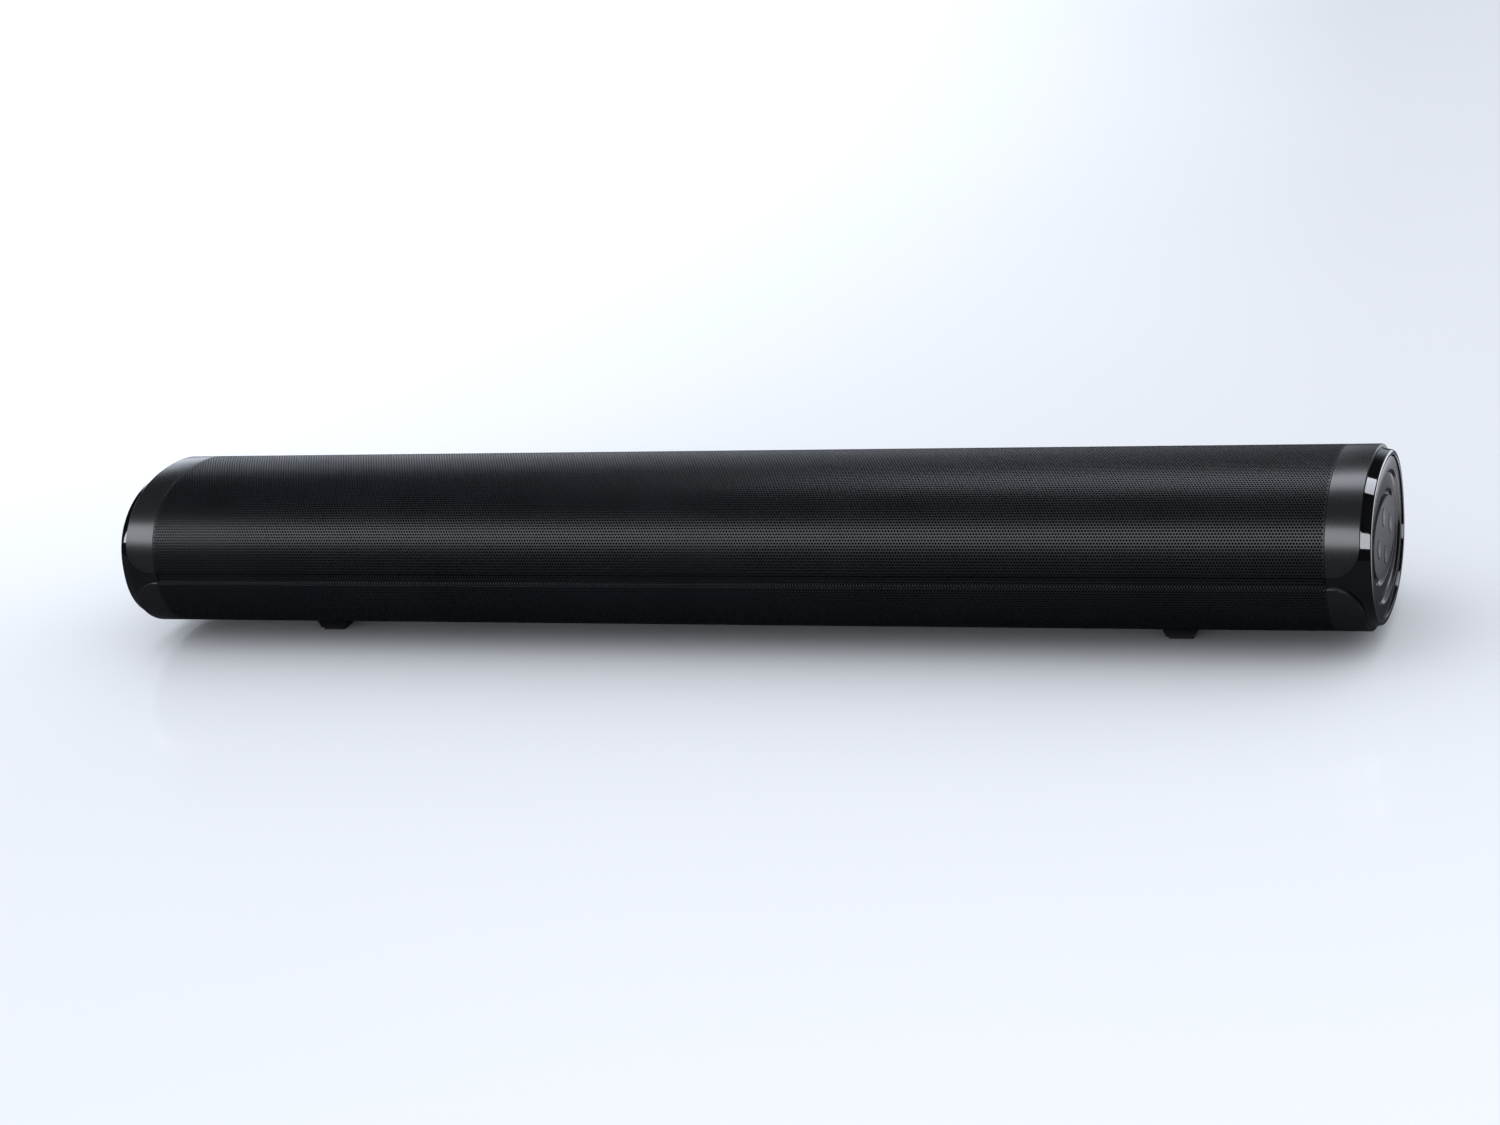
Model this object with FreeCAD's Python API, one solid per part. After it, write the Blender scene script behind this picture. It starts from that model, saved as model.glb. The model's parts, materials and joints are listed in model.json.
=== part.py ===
"""Tubular soundbar with an oval section, built piece by piece.

The bar lies along X with its control panel at the +X end, its perforated front faces -Y, and
Z is up with the floor at zero. Lengths are in millimetres.
"""
import FreeCAD, Part

import math
import os

os.makedirs("parts", exist_ok=True)

# ------------------------------------------------------------------ driving dimensions
# overall body
BAR_LENGTH = 710.0
BODY_DEPTH = 124.0
BODY_HEIGHT = 88.0
OVAL_POWER = 2.3            # 2 would be a plain ellipse, larger is squarer
BODY_LIFT = 6.0             # gap that the feet leave under the body

# cabinet
WALL = 3.0
GRILLE_SHEET = 0.8
GRILLE_TOP_EDGE_Y = 30.0    # the sheet wraps over the top as far as this
GRILLE_BOTTOM_EDGE_Y = -20.0
GROOVE_WIDTH = 6.0          # pressed channel along the front
GROOVE_DEPTH = 1.8
GROOVE_CENTRE = -2.9        # below the axis of the bar
BAFFLE_SETBACK = 16.0       # front of the body to the front of the baffle
BAFFLE_THICKNESS = 3.0
CHAMBER_WALL_X = 70.0
CHAMBER_WALL = 3.0
GRILLE_RIB = 2.0
GRILLE_RIB_X = (-240.0, -150.0, -80.0, 80.0, 150.0, 240.0)
BAFFLE_BOSS_LENGTH = 16.0
BAFFLE_BOSS_RADIUS = 4.0
BAFFLE_SCREW_X = (-318.0, -231.0, -165.0, -100.0, -30.0, 30.0, 100.0, 165.0, 231.0, 318.0)

# end caps, measured inwards from each end of the bar
BAND_START = 5.2
BAND_WIDTH = 17.3
BAND_THICKNESS = 1.9
BAND_GAP = 0.1              # between the band and the cup under it
CUP_RIM_INSET = 3.2
CUP_RIM_WIDTH = 2.8
CUP_WALL = 2.5
CUP_FLOOR = 2.6
LEDGE_DEPTH = 5.0
LEDGE_THICKNESS = 1.5
LEDGE_WIDTH = 2.5
UPPER_PETAL_RADII = (15.0, 15.6)
LOWER_PETAL_RADII = (15.6, 15.8)
FACE_SETBACK = 0.8
STEP_DEPTH = 1.5
STEP_SLOPE = 1.5
OUTER_STEP_INSET = 13.0
INNER_STEP_INSET = 22.5
DISC_INSET = 26.0
DISC_SETBACK = 2.0
GASKET = 1.0
END_BOSS_Y = 36.0
END_BOSS_RADIUS = 4.0
END_BOSS_LENGTH = 18.0

# controls on the right-hand end
BUTTON_RADIUS = 4.5
BUTTON_TRAVEL = 0.8
BUTTON_PROUD = 0.3
BUTTON_LIP = 1.3
BUTTON_LIP_THICKNESS = 1.0
BUTTON_STEM_RADIUS = 1.5
BUTTON_STEM = 3.0
BUTTON_SPREAD_Y = 20.0
BUTTON_SPREAD_Z = 10.0
SWITCH_SIZE = 6.0
SWITCH_HEIGHT = 3.5
CONTROL_BOARD_SIZE = (62.0, 30.0)
BOARD_THICKNESS = 1.6

# loudspeakers
DRIVER_X = (-275.0, -205.0, 205.0, 275.0)
DRIVER_SHARE = 7 / 22        # a loudspeaker's radius as a share of the body's height
DRIVER_RIM = 4.4            # flange outside the basket wall
DRIVER_FLANGE = 1.5
DRIVER_SCREW_MARGIN = 2.0
SURROUND_WIDTH = 3.9
BASKET_SHEET = 1.2
COIL_RADIUS = 8.6
COIL_WINDING = 0.5
COIL_GAP = 0.5              # between the winding and the top plate
FORMER_SHEET = 0.4
SPIDER_WIDTH = 7.1          # from the former out to the basket
MAGNET_INSET = 3.6          # magnet inside the basket wall, so that it passes the baffle's hole
TOP_PLATE_DEPTH = 19.0      # depths from here on are behind the flange's front face
MAGNET_DEPTH = 22.0
BACK_PLATE_DEPTH = 30.0
MOTOR_DEPTH = 33.0
SPIDER_DEPTH = 13.5
CONE_DEPTH = 9.0
COIL_DEPTH = (17.0, 24.0)
TAG_HALF = 4.0
TAG_DEPTH = (15.0, 19.0)
BASS_PORT_X = 125.0
BASS_PORT_BORE = 12.5
BASS_PORT_WALL = 2.5
BASS_PORT_LENGTH = 52.0
BASS_PORT_LIP = 4.0

# rear
JACK_WINDOW = (104.0, 24.0)
JACK_PLATE_SETBACK = 13.0
JACK_WALL = 1.5
JACK_EAR = 8.0
EAR_SETBACK = 8.5           # face of an ear, in from the back
EAR_THICKNESS = 2.0
# place along X of each socket, then its width, height and depth
SOCKETS = {"dc_socket": -38.0, "aux_socket": -14.0, "optical_socket": 10.0, "usb_socket": 36.0}
SOCKET_BODY = {
    "dc_socket": (9.0, 11.0, 14.0),
    "aux_socket": (9.0, 9.0, 13.0),
    "optical_socket": (10.0, 10.0, 13.0),
    "usb_socket": (14.6, 7.4, 15.0),
}
KEYHOLE_X = 200.0
KEYHOLE_HEAD_RADIUS = 4.75
KEYHOLE_SLOT_RADIUS = 2.4
KEYHOLE_RISE = 10.0
KEYHOLE_POCKET_DEPTH = 6.0
POCKET_WALL = 1.5

# electronics
BOARD_SIZE = (110.0, 75.0)
BOARD_TOP = -5.0            # below the axis of the bar
BOARD_POST_MARGIN = 7.0
BOARD_POST_RADIUS = 3.5
BOARD_POST_Y = (-17.0, 38.0)
SPEAKER_LEAD_RADIUS = 1.1
SPEAKER_LEAD_Y = -26.0
SPEAKER_LEAD_Z = -2.0
CONTROL_LEAD_RADIUS = 1.5
CONTROL_LEAD_Y = 24.0
CONTROL_LEAD_Z = -26.0
CONTROL_LEAD_EXIT = (20.0, -8.0)
LEAD_HOLE = 4.0
CHIP = 1.6                  # height of the amplifier chip
HEAT_SINK_SIZE = (60.0, 30.0, 21.0)
HEAT_SINK_Y = -14.0
FIN_COUNT = 11
FIN_SHEET = 1.4
LAMP_BOARD_Z = 14.0
LAMP_BOARD = 1.2
LAMP_X = (-12.0, -6.0, 0.0)
LAMP_RADIUS = 1.5
RECEIVER_X = 10.0
RECEIVER_RADIUS = 2.4

# feet
FOOT_X = 248.0
FOOT_TOP_WIDTH = 19.0
FOOT_BOTTOM_WIDTH = 15.0
FOOT_DEPTH = 40.0
PAD_THICKNESS = 1.5
PAD_MARGIN = 1.0
FOOT_SCREW_DEPTH = 2.2      # screw head, up into the foot

# screws: shank radii, lengths under the head
CASE_SCREW_RADIUS = 1.5
BOARD_SCREW_RADIUS = 1.25
FINE_SCREW_RADIUS = 1.1
CASE_SCREW_LENGTH = 10.0
END_SCREW_LENGTH = 16.0
DRIVER_SCREW_LENGTH = 8.0
BOARD_SCREW_LENGTH = 7.0
EAR_SCREW_LENGTH = 5.0
CONTROL_SCREW_LENGTH = 6.0

# clearances
FIT = 0.2
BUTTON_GAP = 0.35
SCREW_GAP = 0.1

# ------------------------------------------------------------------ derived dimensions
AXIS_Z = BODY_LIFT + BODY_HEIGHT / 2
HALF = BAR_LENGTH / 2
FRONT_Y = -BODY_DEPTH / 2
REAR_Y = BODY_DEPTH / 2
BAND_END = BAND_START + BAND_WIDTH
CUP_INSET = BAND_THICKNESS + BAND_GAP
CUP_END = BAND_END + BAND_GAP
GRILLE_HALF = HALF - BAND_END - FIT
SHELL_HALF = HALF - CUP_END - GASKET
BAFFLE_FRONT_Y = FRONT_Y + BAFFLE_SETBACK
BAFFLE_BACK_Y = BAFFLE_FRONT_Y + BAFFLE_THICKNESS
GROOVE_TOP = GROOVE_CENTRE + GROOVE_WIDTH / 2
GROOVE_BOTTOM = GROOVE_CENTRE - GROOVE_WIDTH / 2
REBATE = GRILLE_SHEET + FIT
SEAT_DEPTH = FACE_SETBACK + 2 * STEP_DEPTH
DRIVER_RADIUS = DRIVER_SHARE * BODY_HEIGHT
DRIVER_WALL_RADIUS = DRIVER_RADIUS - DRIVER_RIM
DRIVER_HOLE_RADIUS = DRIVER_WALL_RADIUS + 0.6
DRIVER_SCREW_CIRCLE = DRIVER_RADIUS - DRIVER_SCREW_MARGIN
CONE_RADIUS = DRIVER_WALL_RADIUS - BASKET_SHEET - SURROUND_WIDTH
CASE_HOLE = CASE_SCREW_RADIUS + SCREW_GAP
BOARD_HOLE = BOARD_SCREW_RADIUS + SCREW_GAP
FINE_HOLE = FINE_SCREW_RADIUS + SCREW_GAP
OVAL_POINTS = 32
FAR = 2 * BAR_LENGTH
ALONG_X = FreeCAD.Vector(1, 0, 0)
ALONG_Y = FreeCAD.Vector(0, 1, 0)
ALONG_Z = FreeCAD.Vector(0, 0, 1)


# ------------------------------------------------------------------ shape helpers
def point(x, y, z):
    """A point whose height is measured from the axis of the bar."""
    return FreeCAD.Vector(x, y, z + AXIS_Z)


def box(x0, x1, y0, y1, z0, z1):
    """A block between two corners, with heights from the axis of the bar."""
    return Part.makeBox(x1 - x0, y1 - y0, z1 - z0, point(x0, y0, z0))


def rod(start, direction, radius, length):
    return Part.makeCylinder(radius, length, start, direction)


def fuse(shapes):
    """Joins touching shapes into one clean solid."""
    joined = shapes[0]
    for shape in shapes[1:]:
        joined = joined.fuse(shape)
    return joined.removeSplitter()


def cut(shape, tools):
    for tool in tools:
        shape = shape.cut(tool)
    return shape


def signed_power(value, power):
    return math.copysign(abs(value) ** power, value)


def oval_wire(x, inset):
    """The body's section at x, moved inwards by the inset."""
    half_depth = BODY_DEPTH / 2 - inset
    half_height = BODY_HEIGHT / 2 - inset
    points = []
    for index in range(OVAL_POINTS):
        angle = 2 * math.pi * index / OVAL_POINTS
        y = half_depth * signed_power(math.cos(angle), 2 / OVAL_POWER)
        z = half_height * signed_power(math.sin(angle), 2 / OVAL_POWER)
        points.append(point(x, y, z))
    curve = Part.BSplineCurve()
    curve.interpolate(Points=points, PeriodicFlag=True)
    return Part.Wire([curve.toShape()])


def oval_bar(x0, x1, inset):
    low, high = min(x0, x1), max(x0, x1)
    return Part.Face(oval_wire(low, inset)).extrude(FreeCAD.Vector(high - low, 0, 0))


def oval_tube(x0, x1, outer_inset, inner_inset):
    low, high = min(x0, x1), max(x0, x1)
    return oval_bar(low, high, outer_inset).cut(oval_bar(low - 1, high + 1, inner_inset))


def oval_taper(x0, inset0, x1, inset1):
    """A bar whose section changes evenly from one inset to another."""
    return Part.makeLoft([oval_wire(x0, inset0), oval_wire(x1, inset1)], True, True)


def oval_half_height(y, inset):
    """Half the section's height at a depth y."""
    share = abs(y) / (BODY_DEPTH / 2 - inset)
    return (BODY_HEIGHT / 2 - inset) * (1 - share ** OVAL_POWER) ** (1 / OVAL_POWER)


def grille_zone(clearance):
    """Everything in front of the sheet's top and bottom edges."""
    upper = box(-FAR, FAR, -FAR, GRILLE_TOP_EDGE_Y - clearance, 0, FAR)
    lower = box(-FAR, FAR, -FAR, GRILLE_BOTTOM_EDGE_Y - clearance, -FAR, 0)
    return upper.fuse(lower)


def spin(outline, centre, direction):
    """Turns an outline of (radius, depth) points, with (radius, depth) arc middles, about an axis."""
    sideways = ALONG_Z if abs(direction.z) < 0.5 else ALONG_X
    place = [centre + sideways * radius + direction * depth for radius, depth, _ in outline]
    edges = []
    for index, (_, _, middle) in enumerate(outline):
        start = place[index]
        end = place[(index + 1) % len(place)]
        if middle is None:
            edges.append(Part.LineSegment(start, end).toShape())
        else:
            through = centre + sideways * middle[0] + direction * middle[1]
            edges.append(Part.Arc(start, through, end).toShape())
    return Part.Face(Part.Wire(edges)).revolve(centre, direction, 360)


def straight(*points):
    """Outline points joined by straight lines."""
    return [(radius, depth, None) for radius, depth in points]


def screw(head, direction, shank_radius, length):
    """A pan-head cross-recess screw; head is the underside of the head."""
    head_radius = 2 * shank_radius
    head_height = 1.3 * shank_radius
    body = rod(head, direction, shank_radius, length)
    cap = rod(head - direction * head_height, direction, head_radius, head_height)
    sideways = ALONG_Z if abs(direction.z) < 0.5 else ALONG_X
    across = direction.cross(sideways)
    recess = []
    for arm in (sideways, across):
        other = direction.cross(arm)
        corner = head - direction * (head_height + 1) - arm * head_radius * 0.6 - other * 0.3
        edges = [corner, corner + arm * head_radius * 1.2]
        edges.append(edges[1] + other * 0.6)
        edges.append(corner + other * 0.6)
        face = Part.Face(Part.makePolygon(edges + [corner]))
        recess.append(face.extrude(direction * (1 + head_height * 0.6)))
    return cut(fuse([cap, body]), recess)


def lead(points, radius):
    """A round lead along straight runs joined by tangent arcs, each as large as its runs allow."""
    edges = []
    start = points[0]
    for before, corner, after in zip(points, points[1:], points[2:]):
        incoming = (corner - before).normalize()
        outgoing = (after - corner).normalize()
        turn = incoming.getAngle(outgoing)
        reach = 0.45 * min((corner - before).Length, (after - corner).Length)
        bend_radius = reach / math.tan(turn / 2)
        begin = corner - incoming * reach
        finish = corner + outgoing * reach
        inward = (outgoing - incoming).normalize()
        apex = corner + inward * (bend_radius / math.cos(turn / 2) - bend_radius)
        edges.append(Part.LineSegment(start, begin).toShape())
        edges.append(Part.Arc(begin, apex, finish).toShape())
        print("lead bend radius", round(bend_radius, 1))
        start = finish
    edges.append(Part.LineSegment(start, points[-1]).toShape())
    path = Part.Wire(edges)
    circle = Part.Circle(points[0], (points[1] - points[0]).normalize(), radius)
    tube = path.makePipeShell([Part.Wire([circle.toShape()])], True, False)
    print("lead volume ratio", round(tube.Volume / (math.pi * radius ** 2 * path.Length), 3))
    return tube


def mirrored(shape):
    """The same piece for the other end of the bar."""
    return shape.mirror(FreeCAD.Vector(0, 0, 0), ALONG_X)


def inward(distance):
    """X of a plane that lies this far in from the right-hand end."""
    return HALF - distance


def save(name, shape):
    shape.exportStep(f"parts/{name}.step")


# ------------------------------------------------------------------ shared places
SCREW_ROOM = 2 * CASE_SCREW_RADIUS + 0.5
HEAD_FRONT_Y = BAFFLE_FRONT_Y - 1.3 * CASE_SCREW_RADIUS
BAFFLE_BOSS_Z = oval_half_height(HEAD_FRONT_Y, REBATE) - SCREW_ROOM
END_BOSS_Z = oval_half_height(END_BOSS_Y, CUP_INSET + CUP_WALL) - SCREW_ROOM
BOARD_POST_X = BOARD_SIZE[0] / 2 - BOARD_POST_MARGIN
BOARD_REAR_Y = REAR_Y - JACK_PLATE_SETBACK - JACK_WALL - 2.0
JACK_PLATE_Y = REAR_Y - JACK_PLATE_SETBACK
JACK_EAR_X = JACK_WINDOW[0] / 2 + JACK_EAR / 2
CONTROL_POST_Y = CONTROL_BOARD_SIZE[0] / 2 - 3.5
CONTROL_POST_Z = CONTROL_BOARD_SIZE[1] / 2 - 3.5
BUTTONS = {
    "button_volume_up": (0.0, BUTTON_SPREAD_Z),
    "button_volume_down": (0.0, -BUTTON_SPREAD_Z),
    "button_source": (-BUTTON_SPREAD_Y, 0.0),
    "button_power": (BUTTON_SPREAD_Y, 0.0),
}

# depths in from the right-hand end, outside to inside
FACE_BACK = LEDGE_DEPTH
BUTTON_FRONT = DISC_SETBACK - BUTTON_PROUD
LIP_FRONT = FACE_BACK + 0.15
STEM_FRONT = LIP_FRONT + BUTTON_LIP_THICKNESS
STEM_END = STEM_FRONT + BUTTON_STEM
SWITCH_FRONT = STEM_END - 0.7
SWITCH_BORE = BUTTON_TRAVEL + 1.2
BOARD_FRONT = SWITCH_FRONT + SWITCH_HEIGHT
BOARD_BACK = BOARD_FRONT + BOARD_THICKNESS
CUP_FLOOR_FRONT = CUP_END - CUP_FLOOR

# loudspeakers
GASKET_FRONT_Y = BAFFLE_FRONT_Y - GASKET
DRIVER_FRONT_Y = GASKET_FRONT_Y - DRIVER_FLANGE
SPIDER_RADIUS = COIL_RADIUS + SPIDER_WIDTH
NECK_RADIUS = SPIDER_RADIUS + 1.4
MAGNET_RADIUS = DRIVER_WALL_RADIUS - MAGNET_INSET
TAG_LOW = -NECK_RADIUS - 5.9
TAG_HIGH = -NECK_RADIUS + 2.1
LINK_Y = DRIVER_FRONT_Y + sum(TAG_DEPTH) / 2
LINK_Z = TAG_LOW + 2 * SPEAKER_LEAD_RADIUS
LINK_START_X = CHAMBER_WALL_X + 80


# ------------------------------------------------------------------ cabinet
def keyhole(x):
    """Hanging slot through the rear wall: a round entry with a narrower slot rising from it."""
    start = REAR_Y - WALL - 0.5
    depth = WALL + 2
    entry = rod(point(x, start, 0), ALONG_Y, KEYHOLE_HEAD_RADIUS, depth)
    top = rod(point(x, start, KEYHOLE_RISE), ALONG_Y, KEYHOLE_SLOT_RADIUS, depth)
    slot = box(x - KEYHOLE_SLOT_RADIUS, x + KEYHOLE_SLOT_RADIUS, start, start + depth, 0, KEYHOLE_RISE)
    return fuse([entry, top, slot])


def pocket_box(x, grow, y0, y1):
    """Space behind a keyhole for the head of the wall screw, grown on its four sides."""
    half = KEYHOLE_HEAD_RADIUS + 1 + grow
    rise = KEYHOLE_RISE + KEYHOLE_HEAD_RADIUS + 1 + grow
    return box(x - half, x + half, y0, y1, -half, rise)


def cabinet_shell():
    shell = oval_tube(-SHELL_HALF, SHELL_HALF, 0, WALL)
    shell = shell.cut(oval_tube(-FAR / 2, FAR / 2, -1, REBATE).common(grille_zone(0)))
    inside = oval_bar(-SHELL_HALF, SHELL_HALF, WALL - 0.5)
    additions = []
    for side in (-1, 1):
        x = side * CHAMBER_WALL_X
        partition = oval_bar(x - CHAMBER_WALL / 2, x + CHAMBER_WALL / 2, WALL - 0.5)
        holes = [
            rod(point(x - CHAMBER_WALL, SPEAKER_LEAD_Y, SPEAKER_LEAD_Z), ALONG_X, LEAD_HOLE, 3 * CHAMBER_WALL)
        ]
        if side > 0:
            start = point(x - CHAMBER_WALL, CONTROL_LEAD_Y, CONTROL_LEAD_Z)
            holes.append(rod(start, ALONG_X, LEAD_HOLE, 3 * CHAMBER_WALL))
        additions.append(cut(partition, holes))
        port = point(side * BASS_PORT_X, REAR_Y - 12, 0)
        pad = rod(port, ALONG_Y, BASS_PORT_BORE + BASS_PORT_WALL + BASS_PORT_LIP + 2.5, 12)
        additions.append(pad.common(inside))
        key_x = side * KEYHOLE_X
        pocket_back = REAR_Y - WALL - KEYHOLE_POCKET_DEPTH
        housing = pocket_box(key_x, POCKET_WALL, pocket_back - POCKET_WALL, REAR_Y)
        additions.append(housing.common(inside))
        ear = rod(point(side * JACK_EAR_X, REAR_Y - EAR_SETBACK + EAR_THICKNESS, 0), ALONG_Y, 3.5,
                  EAR_SETBACK - EAR_THICKNESS)
        additions.append(ear.common(inside))
        for y in (-END_BOSS_Y, END_BOSS_Y):
            for z in (-END_BOSS_Z, END_BOSS_Z):
                x0, x1 = sorted((side * SHELL_HALF, side * (SHELL_HALF - END_BOSS_LENGTH)))
                additions.append(rod(point(x0, y, z), ALONG_X, END_BOSS_RADIUS, END_BOSS_LENGTH))
                low, high = sorted((z, math.copysign(BODY_HEIGHT / 2, z)))
                additions.append(box(x0, x1, y - 1, y + 1, low, high).common(inside))
    for x in BAFFLE_SCREW_X:
        for side in (-1, 1):
            z = side * BAFFLE_BOSS_Z
            additions.append(rod(point(x, BAFFLE_BACK_Y, z), ALONG_Y, BAFFLE_BOSS_RADIUS, BAFFLE_BOSS_LENGTH))
            low, high = sorted((z, side * BODY_HEIGHT / 2))
            web = box(x - 1, x + 1, BAFFLE_BACK_Y, BAFFLE_BACK_Y + BAFFLE_BOSS_LENGTH, low, high)
            additions.append(web.common(inside))
    for side in (-1, 1):
        for y in BOARD_POST_Y:
            post = rod(point(side * BOARD_POST_X, y, -BODY_HEIGHT / 2), ALONG_Z, BOARD_POST_RADIUS,
                       BODY_HEIGHT / 2 + BOARD_TOP - BOARD_THICKNESS)
            additions.append(post.common(inside))
        foot_boss = rod(point(side * FOOT_X, 0, -BODY_HEIGHT / 2), ALONG_Z, 4.5, 12)
        additions.append(foot_boss.common(inside))
    shell = fuse([shell] + additions)
    return cut(shell, cabinet_openings())


def cabinet_openings():
    """Everything that is cut through the shell once its bosses are on."""
    half_x, half_z = JACK_WINDOW[0] / 2, JACK_WINDOW[1] / 2
    tools = [
        box(-FAR, FAR, -FAR, BAFFLE_BACK_Y, -FAR, FAR),
        box(-half_x, half_x, REAR_Y - 10, REAR_Y + 5, -half_z, half_z),
    ]
    for side in (-1, 1):
        key_x = side * KEYHOLE_X
        tools.append(pocket_box(key_x, 0, REAR_Y - WALL - KEYHOLE_POCKET_DEPTH, REAR_Y - WALL))
        tools.append(keyhole(key_x))
        x = side * BASS_PORT_X
        outer = BASS_PORT_BORE + BASS_PORT_WALL + FIT
        tools.append(rod(point(x, 0, 0), ALONG_Y, outer, REAR_Y + 5))
        tools.append(rod(point(x, REAR_Y - 6, 0), ALONG_Y, outer + BASS_PORT_LIP, 10))
        tools.append(rod(point(side * JACK_EAR_X, REAR_Y - 7, 0), ALONG_Y, BOARD_HOLE, 5))
        tools.append(rod(point(side * FOOT_X, 0, -BODY_HEIGHT / 2 - 1), ALONG_Z, CASE_HOLE, 11))
        for y in (-END_BOSS_Y, END_BOSS_Y):
            for z in (-END_BOSS_Z, END_BOSS_Z):
                x0 = min(side * (SHELL_HALF + 1), side * (SHELL_HALF - END_BOSS_LENGTH + 2))
                tools.append(rod(point(x0, y, z), ALONG_X, CASE_HOLE, END_BOSS_LENGTH - 1))
        for y in BOARD_POST_Y:
            start = point(side * BOARD_POST_X, y, BOARD_TOP - BOARD_THICKNESS - 8)
            tools.append(rod(start, ALONG_Z, BOARD_HOLE, 9))
        run = max(DRIVER_X) - LINK_START_X
        start = point(min(side * LINK_START_X, side * (LINK_START_X + run)), LINK_Y, LINK_Z)
        tools.append(rod(start, ALONG_X, SPEAKER_LEAD_RADIUS + SCREW_GAP, run))
    for x in BAFFLE_SCREW_X:
        for side in (-1, 1):
            start = point(x, BAFFLE_BACK_Y - 1, side * BAFFLE_BOSS_Z)
            tools.append(rod(start, ALONG_Y, CASE_HOLE, 12))
    return tools


def front_grille():
    """Wrapped sheet with a square channel pressed along the front; the holes are a surface finish here."""
    sheet = oval_tube(-GRILLE_HALF, GRILLE_HALF, 0, GRILLE_SHEET).common(grille_zone(FIT))
    groove = box(-FAR, FAR, FRONT_Y - 1, FRONT_Y + 4, GROOVE_BOTTOM, GROOVE_TOP)
    floor_y = FRONT_Y + GROOVE_DEPTH
    pieces = [sheet.cut(groove)]
    pieces.append(box(-GRILLE_HALF, GRILLE_HALF, floor_y, floor_y + GRILLE_SHEET,
                      GROOVE_BOTTOM - GRILLE_SHEET, GROOVE_TOP + GRILLE_SHEET))
    for low in (GROOVE_BOTTOM - GRILLE_SHEET, GROOVE_TOP):
        pieces.append(box(-GRILLE_HALF, GRILLE_HALF, FRONT_Y + 0.5, floor_y + GRILLE_SHEET,
                          low, low + GRILLE_SHEET))
    return fuse(pieces)


def front_baffle():
    slab = box(-FAR, FAR, BAFFLE_FRONT_Y, BAFFLE_BACK_Y, -FAR, FAR)
    baffle = oval_bar(-SHELL_HALF, SHELL_HALF, REBATE + FIT).common(slab)
    ribs = []
    for x in GRILLE_RIB_X:
        rib = oval_bar(x - GRILLE_RIB / 2, x + GRILLE_RIB / 2, REBATE + FIT)
        rib = rib.common(box(-FAR, FAR, -FAR, BAFFLE_FRONT_Y + 0.5, -FAR, FAR))
        channel = box(-FAR, FAR, -FAR, FRONT_Y + GROOVE_DEPTH + GRILLE_SHEET + FIT,
                      GROOVE_BOTTOM - GRILLE_SHEET - FIT, GROOVE_TOP + GRILLE_SHEET + FIT)
        ribs.append(rib.cut(channel))
    baffle = fuse([baffle] + ribs)
    tools = []
    for x in DRIVER_X:
        start = point(x, BAFFLE_FRONT_Y - 1, 0)
        tools.append(rod(start, ALONG_Y, DRIVER_HOLE_RADIUS, BAFFLE_THICKNESS + 2))
        for place in driver_screw_places(x):
            tools.append(rod(place, ALONG_Y, FINE_HOLE, BAFFLE_SETBACK))
    for x in BAFFLE_SCREW_X:
        for side in (-1, 1):
            start = point(x, BAFFLE_FRONT_Y - 1, side * BAFFLE_BOSS_Z)
            tools.append(rod(start, ALONG_Y, CASE_HOLE, BAFFLE_THICKNESS + 2))
    return cut(baffle, tools)


# ------------------------------------------------------------------ end caps
def end_cup():
    """Glossy cup that closes the end; its rim shows outside the band and its wall in the flared notch."""
    body = oval_bar(inward(CUP_END), inward(BAND_START), CUP_INSET)
    rim = oval_taper(inward(BAND_START), CUP_INSET, HALF, CUP_RIM_INSET)
    cup = fuse([body, rim])
    hollows = [
        oval_bar(inward(LEDGE_DEPTH), HALF + 1, CUP_RIM_INSET + CUP_RIM_WIDTH),
        oval_bar(inward(LEDGE_DEPTH + LEDGE_THICKNESS), inward(LEDGE_DEPTH) + 0.5,
                 CUP_RIM_INSET + CUP_RIM_WIDTH + LEDGE_WIDTH),
        oval_bar(inward(CUP_FLOOR_FRONT), inward(LEDGE_DEPTH + LEDGE_THICKNESS), CUP_INSET + CUP_WALL),
    ]
    cup = cut(cup, hollows)
    holes = []
    for y in (-END_BOSS_Y, END_BOSS_Y):
        for z in (-END_BOSS_Z, END_BOSS_Z):
            holes.append(rod(point(inward(CUP_END + 1), y, z), ALONG_X, CASE_HOLE, CUP_FLOOR + 2))
    return cut(cup, holes)


def end_cup_with_posts():
    """The right-hand cup also carries the control board."""
    posts = []
    bores = []
    for y in (-CONTROL_POST_Y, CONTROL_POST_Y):
        for z in (-CONTROL_POST_Z, CONTROL_POST_Z):
            length = CUP_FLOOR_FRONT - BOARD_BACK
            posts.append(rod(point(inward(CUP_FLOOR_FRONT + 0.5), y, z), ALONG_X, 3.0, length + 0.5))
            bores.append(rod(point(inward(CUP_FLOOR_FRONT - 1), y, z), ALONG_X, FINE_HOLE, length))
    exit_y, exit_z = CONTROL_LEAD_EXIT
    bores.append(rod(point(inward(CUP_END + 1), exit_y, exit_z), ALONG_X, LEAD_HOLE, CUP_FLOOR + 2))
    return cut(fuse([end_cup()] + posts), bores)


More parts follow.
